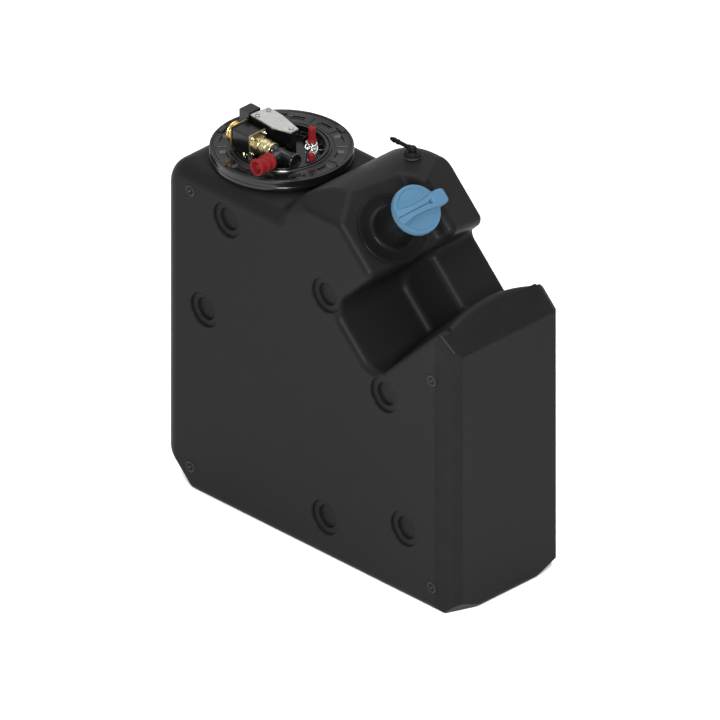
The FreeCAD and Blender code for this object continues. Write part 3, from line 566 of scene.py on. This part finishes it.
def block_grid(low, high, power=7.0, rows=12, columns=24, pole=0.01, phase=0.5):
    """A block with soft corners between two points: a superellipsoid, where each of the three
    half sizes is scaled by the signed power of a cosine or sine of two angles. The first and
    last ring lie a small angle off the poles, and the phase turns the columns by part of one."""
    low, high = np.array(low, float), np.array(high, float)
    half, middle = (high - low) / 2, (high + low) / 2
    tilt = np.linspace(-math.pi / 2 + pole, math.pi / 2 - pole, rows)
    spin = (np.arange(columns) + phase) * TURN / columns

    def soft(wave):
        return np.sign(wave) * np.abs(wave) ** (2 / power)

    across = soft(np.cos(tilt))[:, None]
    grid = np.stack([across * soft(np.cos(spin))[None, :] * half[0],
                     across * soft(np.sin(spin))[None, :] * half[1],
                     np.repeat(soft(np.sin(tilt))[:, None], columns, axis=1) * half[2]], axis=-1)
    return grid + middle


def many(name, grids, matrices, body, material, replaces=()):
    """Closed pieces in one object: each grid of rings, in millimetres, has its first and last
    ring closed and is carried by its own matrix."""
    points, quads, start = [], [], 0
    for grid, matrix in zip(grids, matrices):
        rows, columns = grid.shape[:2]
        quads += capped_faces(rows, columns, start)
        points.append(moved(grid.reshape(-1, 3) * MM, matrix))
        start += rows * columns
    piece = add_mesh(name, np.concatenate(points), quads, body, material, replaces)
    turn_outwards(piece)
    return piece


def hexed(low, high, flat):
    """A ripple that cuts six flats, a given distance from the axis, between two heights (mm)."""

    def ripple(angle, radius, height):
        turn = (angle + math.pi / 6) % (math.pi / 3) - math.pi / 6
        inside = (height > low * MM) & (height < high * MM)
        return np.where(inside, np.minimum(0, flat * MM / np.cos(turn) - radius), 0)

    return ripple


def head_grid(radius, height, recess, arms, rows=26, columns=96):
    """A screw head with a domed top and a recess: arms is 2 for a cross and 6 for a hexagon.

    The dome falls as the cube of the radius. A cross is where the smaller of |x| and |y| is
    under a seventh of the radius, a hexagon where the radius is under half of the head's."""
    angle = np.arange(columns) * TURN / columns
    share = np.linspace(0.001, 1, rows)[:, None]
    x, y = share * radius * np.cos(angle), share * radius * np.sin(angle)
    if arms == 2:
        inside = smooth((radius / 7 - np.minimum(np.abs(x), np.abs(y))) / (radius / 12) + 0.5)
        inside = inside * smooth((0.62 - share) / 0.08)
    else:
        turn = (angle + math.pi / 6) % (math.pi / 3) - math.pi / 6
        inside = smooth((0.5 - share * np.cos(turn)) / 0.06)
    top = height * (1 - 0.3 * share ** 3) - recess * inside
    side = np.array([[1.0, 0.62], [1.02, 0.3], [1.0, 0.02], [0.6, 0.0], [0.01, 0.0]])
    ring = np.stack([np.cos(angle), np.sin(angle)], axis=-1)[None]
    skirt = np.concatenate([ring * side[:, :1, None] * radius,
                            np.repeat(side[:, 1:], columns, axis=1)[..., None] * height], axis=-1)
    return np.concatenate([np.stack([x, y, top], axis=-1), skirt])


def along_x(x, y, z):
    """A frame at a point whose Z runs along +X."""
    return standing_at((x, y, z), (1, 0, 0))


class TANK_OT_filler_cap(bpy.types.Operator):
    """Filler cap: a disc with a flared grip, its slot and eyelet, and two shallow panels

    The rim's distance from the axis is the larger of the disc's radius and the grip's
    (|cos a / w|^6 + |sin a / l|^6)^(-1/6). The top is the grip's height times a smooth step of
    (waist(y) - |x|), less the same kind of step for the slot, the eyelet and the panels."""
    bl_idname = "tank.filler_cap"
    bl_label = "Filler cap"

    def execute(self, context):
        columns, disc, base = 480, 36.4, 87.5
        angle = np.arange(columns) * TURN / columns
        cosine, sine = np.cos(angle), np.sin(angle)
        reach = ((np.abs(cosine) / 12.6) ** 6 + (np.abs(sine) / 49.0) ** 6) ** (-1 / 6)
        rim = np.where(sine > 0, np.maximum(disc, reach), disc)
        share = np.concatenate([np.linspace(0.0005, 0.94, 96), np.linspace(0.945, 1, 16)])
        x = share[:, None] * rim * cosine
        y = share[:, None] * rim * sine
        away = np.hypot(x, y)
        waist = (8.4 + 3.6 * smooth((y - 6) / 30) + 3.2 * smooth((-y - 10) / 26)
                 + 2.4 * smooth((y - 33) / 5))
        rise = 7.0 - 3.6 * smooth((-y - 8) / 28)
        grip = rise * smooth((waist - np.abs(x)) / 3.0 + 0.5)
        panel = (smooth((away - 9) / 2) * smooth((32 - away) / 1.2)
                 * smooth((np.abs(x) - waist - 2.2) / 1.2))
        slot = smooth((0.9 - np.abs(x)) / 0.4 + 0.5) * smooth((21 - y) / 0.6)
        eyelet = smooth((3.2 - np.hypot(x, y - 21)) / 0.5)
        crease = np.maximum(0, 2.0 - (1 - share[:, None]) * rim)
        z = (base + grip - 1.2 * panel - np.maximum(2.6 * slot, 8.6 * eyelet)
             - (2.0 - np.sqrt(np.maximum(0, 4.0 - crease ** 2))))
        top = np.stack([x, y, z], axis=-1)
        inner = np.full(columns, disc)
        rings = [(rim, 85.6), (rim - 0.3, 84.9), (inner - 0.1, 84.5), (inner, 83.9),
                 (inner, 76.8), (inner - 0.2, 76.3), (inner - 0.7, 76.1), (inner - 3, 76.1),
                 (inner - 3.5, 76.4), (inner - 3.6, 78.2), (inner - 4, 78.5)]
        for radius, height in ((6.2, 78.5), (5.95, 78.2), (5.95, 64.3), (5.6, 64), (0.02, 64)):
            rings.append((np.full(columns, radius), height))
        under = np.stack([np.stack([radius * cosine, radius * sine,
                                    np.full(columns, height)], axis=-1)
                          for radius, height in rings])
        many("filler_cap_detail", [np.concatenate([top, under])], [FILLER], "cap",
             FINISHES["blue"], replaces=["filler_cap"])
        return {"FINISHED"}


class TANK_OT_filler_neck(bpy.types.Operator):
    """Filler neck: turned tube with a stepped flange, a rolled lip and a mould line each side

    The line adds 0.45 mm times exp(-(cos a / 0.022)^2) to the radius at the angle a, which is
    a narrow ridge on two opposite sides."""
    bl_idname = "tank.filler_neck"
    bl_label = "Filler neck"

    def execute(self, context):
        def mould_line(angle, radius, height):
            line = np.exp(-(np.cos(angle) / 0.022) ** 2)
            outside = (radius > 28.5 * MM) & (height > 4 * MM)
            return np.where(outside, line * 0.45 * MM, 0)

        section = millimetres(
            (24.5, 1.2), (52.2, 1.2), (53, 2), (53, 3.2), (52, 4.2), (45.5, 4.2), (45, 3.8),
            (36, 3.8), (33, 4.6), (30.8, 6.6), (29.6, 9.5), (29.1, 14), (29, 40), (29, 69),
            (30.4, 70.2), (30.6, 72.6), (29.6, 73.6), (29, 75.4), (28.2, 76), (25.3, 76),
            (24.5, 75.2))
        lathe("filler_neck_detail", section, FILLER, "tank", FINISHES["neck"], segments=224,
              ripple=mould_line, ease=0.0009, replaces=["filler_neck"])
        return {"FINISHED"}


class TANK_OT_vent(bpy.types.Operator):
    """Vent: a low cupped disc and stem with a barbed spout

    The spout is turned: its half section is a tube with two saw-tooth barbs."""
    bl_idname = "tank.vent"
    bl_label = "Vent"

    def execute(self, context):
        low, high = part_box("vent_grommet")
        x, y = (low.x + high.x) / 2, (low.y + high.y) / 2
        top = high.z - 4 * MM
        stem = millimetres(
            (0, 4), (11.6, 4), (12.6, 4.6), (12.6, 6.6), (11.8, 7.3), (9.8, 7.0), (8.6, 7.4),
            (6.8, 8.6), (6.2, 10), (6.2, 11.4), (6.8, 12), (6.8, 14.6), (6.1, 15.2), (6, 16),
            (4.4, 17.6), (2.4, 18), (0, 18))
        lathe("vent_stem", stem, standing_at((x, y, top)), "tank", FINISHES["neck"],
              segments=72, replaces=["vent_elbow"])
        spout = millimetres(
            (0, 0), (4.3, 0), (4.3, 8.4), (3.6, 9), (3.1, 9.6), (3.1, 27), (4.1, 27.2),
            (3.2, 33), (3.1, 35), (4.2, 35.2), (2.5, 42.6), (2.1, 43), (0, 43))
        lathe("vent_spout", spout, standing_at((x, y, top + 13.5 * MM), (-1, 0, 0)), "tank",
              FINISHES["neck"], segments=48, ease=0.0003)
        return {"FINISHED"}


class TANK_OT_lock_ring(bpy.types.Operator):
    """Lock ring: a stepped annulus with twelve windows, hoops, ribs and six drive lugs

    The section is carried round the axis. Inside each window, where both the angle and the
    radius lie between its borders, the plate's top sinks by two smooth steps multiplied."""
    bl_idname = "tank.lock_ring"
    bl_label = "Lock ring"

    def execute(self, context):
        def windows(angle, radius, height):
            turn = (angle + TURN / 24) % (TURN / 12) - TURN / 24
            across = smooth((0.128 - np.abs(turn)) / 0.012)
            along = smooth((radius - 78.2 * MM) / MM) * smooth((89.8 * MM - radius) / MM)
            return np.where(height > 538.2 * MM, -2.7 * MM * across * along, 0)

        plate = [(radius, 538.8) for radius in np.linspace(91.5, 76.5, 14)]
        section = millimetres(
            (68, 535.8), (98.5, 535.8), (98.5, 525.5), (101.2, 525.5), (101.5, 526),
            (101.5, 530.4), (101.1, 531), (101.1, 536), (101.5, 536.6), (101.5, 541.1),
            (101, 541.5), (99.2, 541.5), (98.5, 540.8), (97.4, 538.9), (95.4, 538.6),
            (94.8, 539.8), (93.4, 539.8), (92.6, 538.8), *plate, (75.6, 539.9), (74.4, 539.9),
            (73.6, 538.8), (71.4, 538.8), (70.6, 541), (68.8, 541.3), (68, 540.6))
        lathe("lock_ring_detail", section, HEADER, "lock_ring_body", FINISHES["ring"], segments=384,
              sink=windows, ease=0.0004, replaces=["lock_ring"])
        grids, places = [], []
        for step in range(6):
            place = HEADER @ Matrix.Rotation((step + 0.25) * TURN / 6, 4, "Z")
            grids.append(block_grid((91.8, -8, 537.5), (98.9, 8, 541.4), power=9))
            places.append(place)
        for step in range(12):
            place = HEADER @ Matrix.Rotation((step + 0.5) * TURN / 12, 4, "Z")
            grids.append(block_grid((75, -0.9, 537.6), (93.6, 0.9, 539.8)))
            places.append(place)
        many("ring_lugs", grids, places, "lock_ring_body", FINISHES["ring"])
        return {"FINISHED"}


class TANK_OT_dish_ribs(bpy.types.Operator):
    """Header plate: hoops and radial ribs on the dish floor, and a lip round its rim

    The ribs are superellipsoids of power 7 turned to their own angles."""
    bl_idname = "tank.dish_ribs"
    bl_label = "Header plate ribs"

    def execute(self, context):
        finish = FINISHES["dark"]
        for name, low, high, foot, top in (("dish_rim_lip", 61.6, 65.8, 539.2, 541.4),
                                           ("dish_floor_hoop", 56.4, 58.2, 526.4, 529.4),
                                           ("dish_shoulder_hoop", 59.8, 63.0, 526.6, 533.0)):
            hoop = millimetres((low, foot), (high, foot), (high, top), (low, top))
            lathe(name, hoop, HEADER, "tank", finish, segments=160, ease=0.0007)
        grids, places = [], []
        for degrees in (-100, -84, -68, 46, 62, 78, 94, 110, 126, 142, 158, 174, 190, 206):
            place = HEADER @ Matrix.Rotation(math.radians(degrees), 4, "Z")
            grids.append(block_grid((46, -1, 526.2), (62, 1, 534)))
            places.append(place)
        many("dish_ribs", grids, places, "tank", finish)
        return {"FINISHED"}


class TANK_OT_valve(bpy.types.Operator):
    """Coolant valve: coil, banded end, brass body with flats and grooves, and black barrel

    The turned pieces are half sections carried round the valve's axis; the flats of the hexagon
    are where the radius is cut to f / cos(a) inside each sixth of a turn."""
    bl_idname = "tank.valve"
    bl_label = "Coolant valve"

    def execute(self, context):
        low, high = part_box("valve_coil")
        coil = block_grid(low / MM, high / MM, power=18.0, rows=48, columns=128, pole=0.001,
                          phase=0)
        many("valve_coil_detail", [coil], [Matrix.Identity(4)], "tank", FINISHES["dark"],
             replaces=["valve_coil"])
        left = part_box("coil_end_rings")[1].x + 0.8 * MM
        end_place = standing_at((left, VALVE_Y, VALVE_Z), (-1, 0, 0))
        cap = millimetres((0, 0), (10.9, 0), (10.9, 4), (10.2, 4.4), (10.2, 4.9), (10.9, 5.2),
                          (10.9, 9), (10, 9.6), (6.4, 9.6), (5.8, 8.2), (0, 8))
        lathe("coil_cap_detail", cap, end_place, "tank", FINISHES["dark"], segments=96,
              replaces=["coil_cap"])
        for number, start in enumerate((0.8, 5.2)):
            band = millimetres((11, start), (15.4, start), (16.5, start + 0.8),
                               (15.7, start + 1.6), (16.5, start + 2.4), (15.4, start + 3.2),
                               (11, start + 3.2))
            lathe(f"coil_band_{number}", band, end_place, "tank", FINISHES["gold"], segments=96,
                  replaces=["coil_end_rings"] if number == 0 else ())

        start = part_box("valve_body")[0].x
        body = millimetres(
            (0, 0), (12.6, 0), (13, 0.6), (13, 8.2), (12.2, 9), (10.4, 9.8), (10, 10.6),
            (10, 12.6), (11, 13.4), (12.4, 13.8), (12.4, 15.4), (11.9, 16), (12.4, 16.6),
            (12.4, 18.2), (11.9, 18.8), (12.4, 19.4), (12.4, 21.6), (10.8, 22.8), (10.4, 24),
            (10.4, 25.6), (11.6, 26.6), (12, 27.4), (12, 31.2), (11.4, 32), (0, 32))
        lathe("valve_body_detail", body, along_x(start, VALVE_Y, VALVE_Z), "tank",
              FINISHES["brass"], segments=144, ripple=hexed(-1, 9.4, 11.7), ease=0.0003,
              replaces=["valve_body"])

        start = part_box("valve_barrel")[0].x
        barrel = millimetres(
            (0, 0), (11.2, 0), (11.5, 0.6), (11.5, 3.6), (10.6, 4.6), (10, 5.6), (10, 12),
            (10.7, 12.6), (10.7, 14.4), (10, 15), (10, 36), (10.6, 37.6), (11.5, 38.6),
            (11.5, 42.2), (10.8, 43), (8.2, 43), (7.6, 40), (0, 39.6))
        lathe("valve_barrel_detail", barrel, along_x(start, VALVE_Y, VALVE_Z), "tank",
              FINISHES["dark"], segments=112, replaces=["valve_barrel"])
        stub = millimetres((0, 0), (9.6, 0), (9.6, 12), (8.6, 14), (8, 15), (8, 33.2), (7.2, 34),
                           (0, 34))
        side_place = standing_at((PORT_X, VALVE_Y, VALVE_Z), (0, -1, 0), (0, 0, 1))
        lathe("valve_side_stub", stub, side_place, "tank", FINISHES["dark"])

        grids, places = [], []
        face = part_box("valve_body")[0].x
        for across in (-12.2, 12.2):
            for up in (-12.2, 12.2):
                grids.append(head_grid(2.7, 3.0, 1.5, 6))
                places.append(along_x(face, VALVE_Y + across * MM, VALVE_Z + up * MM))
        many("valve_flange_bolts", grids, places, "tank", FINISHES["bright"])
        return {"FINISHED"}


class TANK_OT_port_caps(bpy.types.Operator):
    """Port caps: the flanged side cap with its open end, and two ribbed push-on caps

    All are turned. The side cap's flanges carry flutes of 0.18 mm cos(24 a)."""
    bl_idname = "tank.port_caps"
    bl_label = "Port caps"

    def execute(self, context):
        def flutes(angle, radius, height):
            return np.where(radius > 11.4 * MM, 0.18 * MM * np.cos(24 * angle), 0)

        side = millimetres(
            (8.35, 2), (11.2, 2), (12.4, 2.8), (12.6, 3.6), (12.6, 6.6), (11.8, 7.4),
            (10.3, 8.2), (10.1, 10), (10.1, 12.6), (11.9, 13.4), (12.1, 14.2), (12.1, 15.8),
            (11.9, 16.6), (10.2, 17.4), (10.1, 19), (10.1, 24.6), (11.4, 25.8), (12.3, 26.8),
            (12.4, 30.6), (11.6, 32), (9.9, 32), (9.2, 31.2), (8.6, 22.6), (7.4, 21.8),
            (4.6, 21.8), (4.2, 22.6), (4.2, 27), (3.6, 27.6), (0, 27.6), (0, 18), (8.35, 18))
        place = standing_at((PORT_X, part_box("side_port_cap")[1].y, VALVE_Z), (0, -1, 0),
                            (0, 0, 1))
        lathe("side_port_cap_detail", side, place, "side_cap", FINISHES["red"], segments=144,
              ripple=flutes, replaces=["side_port_cap"])
        tab = block_grid((11.4, 5, -2.6), (16.8, 10.4, 2.6), power=4.0)[:, :, [0, 2, 1]]
        many("side_cap_tab", [tab], [place @ Matrix.Rotation(math.radians(200), 4, "Z")],
             "side_cap", FINISHES["red"])

        def ribs(angle, radius, height):
            return np.where((radius > 4 * MM) & (height > 4 * MM),
                            0.16 * MM * np.cos(12 * angle), 0)

        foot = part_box("tall_port_cap")[0].z
        spot = centre("tall_port_cap")
        tall = millimetres(
            (0, 24), (0, 17), (3.55, 17), (3.55, 0), (6.4, 0), (7, 0.7), (7, 2.4), (6.2, 3.4),
            (5.4, 4.4), (5.4, 20.6), (4.8, 22.6), (3.2, 24))
        lathe("tall_port_cap_detail", tall, standing_at((spot.x, spot.y, foot)), "tall_cap",
              FINISHES["red"], segments=96, ripple=ribs, replaces=["tall_port_cap"])
        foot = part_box("small_port_cap")[0].z
        spot = centre("small_port_cap")
        small = millimetres((0, 14), (0, 9), (3.35, 9), (3.35, 0), (4.8, 0), (4.9, 0.8),
                            (4.9, 2.2), (4.4, 2.8), (4.6, 12.2), (3.6, 13.6), (2.4, 14))
        lathe("small_port_cap_detail", small, standing_at((spot.x, spot.y, foot)), "small_cap",
              FINISHES["red"], segments=80, replaces=["small_port_cap"])
        return {"FINISHED"}


class TANK_OT_fasteners(bpy.types.Operator):
    """Cross-head screws on the cover plate, hexagon fittings, and the connector's contacts

    The fittings are turned, with their radius cut to f / cos(a) inside each sixth of a turn."""
    bl_idname = "tank.fasteners"
    bl_label = "Fasteners"

    def execute(self, context):
        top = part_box("cover_plate")[1].z
        places = [standing_at((x, y, top)) @ Matrix.Rotation(0.4 + number, 4, "Z")
                  for number, (x, y) in enumerate(SCREW_SPOTS)]
        many("cover_screws_detail", [head_grid(3.4, 2.2, 1.1, 2)] * 3, places, "tank",
             FINISHES["steel"], replaces=["cover_screws"])

        low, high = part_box("connector_box")
        grids, places = [], []
        for across in (-5.4, -1.8, 1.8, 5.4):
            for up in (-3.2, 3.2):
                grids.append(block_grid((-0.5, -0.35, 0), (0.5, 0.35, 9), power=6.0))
                places.append(standing_at((high.x - 4.5 * MM, (low.y + high.y) / 2 + across * MM,
                                           (low.z + high.z) / 2 + up * MM), (-1, 0, 0)))
        many("connector_contacts", grids, places, "tank", FINISHES["brass"])

        nipple = millimetres((0, 0), (6, 0), (6, 5.4), (5.4, 6), (3.2, 6.4), (2.8, 7), (3.6, 8.4),
                             (2.8, 10.2), (2.3, 11), (0, 11))
        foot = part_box("brass_fittings")[0].z
        for number, (x, y) in enumerate(FITTING_SPOTS):
            lathe(f"brass_fitting_{number}", nipple, standing_at((x, y, foot)), "tank",
                  FINISHES["fitting"], segments=72, ripple=hexed(-1, 5.8, 5.2), ease=0.0003,
                  replaces=["brass_fittings"] if number == 0 else ())
        return {"FINISHED"}


class TANK_OT_insert_rims(bpy.types.Operator):
    """Insert rims: a shallow rolled rim and thread crests in each mounting insert

    The crests are a saw-tooth of the half section, one tooth each 1.5 mm of depth."""
    bl_idname = "tank.insert_rims"
    bl_label = "Insert rims"

    def execute(self, context):
        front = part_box("mounting_inserts")[0].y
        for number, (x, z) in enumerate(INSERT_SPOTS):
            place = standing_at((x, front, z), (0, -1, 0), (0, 0, 1))
            rim = millimetres((4.3, -0.2), (4.9, 0.35), (6.4, 0.4), (7, -0.1), (8.2, -0.1),
                              (8.8, 0.5), (10, 0.6), (10.9, 0), (10.9, -0.8), (4.3, -0.8))[::-1]
            lathe(f"insert_rim_{number}", rim, place, "tank", FINISHES["tank"], segments=64,
                  ease=0.0003)
            crests = [(4.24 - 0.45 * (step % 2), -1.0 - 0.75 * step) for step in range(17)]
            thread = millimetres((4.24, -13.4), (4.24, -0.9), *crests[1:])
            lathe(f"insert_thread_{number}", thread, place, "tank", FINISHES["oxide"],
                  segments=48, ease=0.0001)
        return {"FINISHED"}


class TANK_OT_hose_clips(bpy.types.Operator):
    """Clamp bands, a closed spring and its strip beside the tall port

    The spring is a helix of radius r and pitch p: (r cos a, r sin a, p a / turn)."""
    bl_idname = "tank.hose_clips"
    bl_label = "Hose clips"

    def execute(self, context):
        spot = centre("tall_port_stub")
        place = standing_at((spot.x, spot.y, 0))
        for number, (foot, outer) in enumerate(((534.6, 7.4), (542.4, 6.4), (549.2, 7.8))):
            band = millimetres((3.3, foot), (outer - 1.4, foot), (outer, foot + 0.5),
                               (outer - 0.5, foot + 1.5), (outer, foot + 2.5),
                               (outer - 1.4, foot + 3), (3.3, foot + 3))
            lathe(f"clamp_band_{number}", band, place, "tank", FINISHES["bright"], segments=72,
                  replaces=["hose_clips"] if number == 0 else ())
        turns = np.linspace(0, 5 * TURN, 200)
        coil = np.stack([5.2 * np.cos(turns), 5.2 * np.sin(turns), 530.2 + turns * 0.52],
                        axis=-1) * MM
        tube("clip_spring", coil, 0.55 * MM, place, "tank", FINISHES["bright"], segments=10)
        bend = np.linspace(0, TURN, 61)[:-1]
        for number, (height, wide, lean) in enumerate(((536.5, 8.6, 0.3), (543.5, 9.4, -0.35),
                                                       (550.6, 8.2, 0.2))):
            loop = np.stack([wide * np.cos(bend) - 1.2, (wide - 1.6) * np.sin(bend),
                             height + lean * wide * np.cos(bend + number)], axis=-1) * MM
            tube(f"clip_wire_{number}", loop, 0.7 * MM, place, "tank", FINISHES["bright"],
                 segments=10, closed=True)
        grids, places = [], []
        for height, degrees in ((535.4, -40), (540.6, -75), (546.6, -20), (551, -60)):
            grids.append(block_grid((6.4, -2.2, height - 1.6), (11.6, 2.2, height + 1.6)))
            places.append(place @ Matrix.Rotation(math.radians(degrees), 4, "Z"))
        many("clip_ears", grids, places, "tank", FINISHES["bright"])
        foot = centre("small_port_stub")
        ring = millimetres((3.1, 529.6), (5, 529.6), (5.2, 531), (5, 532.6), (3.1, 532.6))
        lathe("small_clamp", ring, standing_at((foot.x, foot.y, 0)), "tank",
              FINISHES["bright"], segments=64)
        grids = [block_grid((-121, 8, 527), (-118.5, 14, 551)),
                 block_grid((-119.4, 8, 527), (-110, 14, 530.4)),
                 block_grid((-122.6, 6.6, 547), (-117, 15.2, 550))]
        many("clip_strip", grids, [Matrix.Identity(4)] * 3, "tank", FINISHES["bright"])
        return {"FINISHED"}


class TANK_OT_stage(bpy.types.Operator):
    """Pale floor, soft studio light and the camera"""
    bl_idname = "tank.stage"
    bl_label = "Stage"

    def execute(self, context):
        stage = context.scene.tank_stage
        low, high = CAD_BOX
        size = 60.0
        mesh = bpy.data.meshes.new("floor")
        mesh.from_pydata([(-size, -size, 0), (size, -size, 0), (size, size, 0),
                          (-size, size, 0)], [], [(0, 1, 2, 3)])
        floor = bpy.data.objects.new("floor", mesh)
        context.scene.collection.objects.link(floor)
        pale = Finish("pale floor", Roughness=0.9)
        pale.feed(Base_Color=(0.93, 0.93, 0.93, 1), Specular_IOR_Level=0.06)
        mesh.materials.append(pale.material)

        world = bpy.data.worlds.new("studio")
        world.use_nodes = True
        background = world.node_tree.nodes["Background"]
        background.inputs["Color"].default_value = (1, 1, 1, 1)
        background.inputs["Strength"].default_value = 0.9
        context.scene.world = world

        lamps = [("key", (0.6, -1.6, 2.2), 1.6, 6), ("front", (2.0, -2.0, 1.75), 0.8, 165),
                 ("top", (-0.3, 0.2, 2.6), 2.2, 70)]
        aim = Vector((0, 0, 0.3))
        for name, place, width, watts in lamps:
            data = bpy.data.lights.new(name, "AREA")
            data.size = width
            data.energy = watts
            lamp = bpy.data.objects.new(name, data)
            lamp.location = place
            lamp.rotation_euler = (aim - Vector(place)).to_track_quat("-Z", "Y").to_euler()
            context.scene.collection.objects.link(lamp)

        data = bpy.data.cameras.new("camera")
        data.type = "ORTHO"
        data.ortho_scale = stage.view_height
        data.clip_end = 100
        camera = bpy.data.objects.new("camera", data)
        away = Vector((math.sin(stage.azimuth) * math.cos(stage.elevation),
                       -math.cos(stage.azimuth) * math.cos(stage.elevation),
                       math.sin(stage.elevation)))
        target = Vector((-0.003, -0.003, 0.260))
        camera.location = target + away * 4
        camera.rotation_euler = (-away).to_track_quat("-Z", "Y").to_euler()
        context.scene.collection.objects.link(camera)
        context.scene.camera = camera
        context.scene.view_settings.view_transform = "Standard"
        return {"FINISHED"}


OPERATORS = [TANK_OT_finishes, TANK_OT_filler_cap, TANK_OT_filler_neck, TANK_OT_vent,
             TANK_OT_lock_ring, TANK_OT_dish_ribs, TANK_OT_valve, TANK_OT_port_caps,
             TANK_OT_fasteners, TANK_OT_insert_rims, TANK_OT_hose_clips, TANK_OT_stage]


class TANK_PT_panel(bpy.types.Panel):
    """The tank's steps and settings"""
    bl_label = "Moulded Fluid Tank"
    bl_idname = "TANK_PT_panel"
    bl_space_type = "VIEW_3D"
    bl_region_type = "UI"
    bl_category = "Tank"

    def draw(self, context):
        for settings in (context.scene.tank_finish, context.scene.tank_stage):
            for key in settings.__annotations__:
                self.layout.prop(settings, key)
        for operator in OPERATORS:
            self.layout.operator(operator.bl_idname)


CLASSES = [TankFinishSettings, TankStageSettings, *OPERATORS, TANK_PT_panel]


def register():
    for item in CLASSES:
        bpy.utils.register_class(item)
    bpy.types.Scene.tank_finish = bpy.props.PointerProperty(type=TankFinishSettings)
    bpy.types.Scene.tank_stage = bpy.props.PointerProperty(type=TankStageSettings)


def unregister():
    del bpy.types.Scene.tank_stage
    del bpy.types.Scene.tank_finish
    for item in reversed(CLASSES):
        bpy.utils.unregister_class(item)


def main():
    register()
    for operator in OPERATORS:
        group, name = operator.bl_idname.split(".")
        getattr(getattr(bpy.ops, group), name)()


if __name__ == "__main__":
    main()
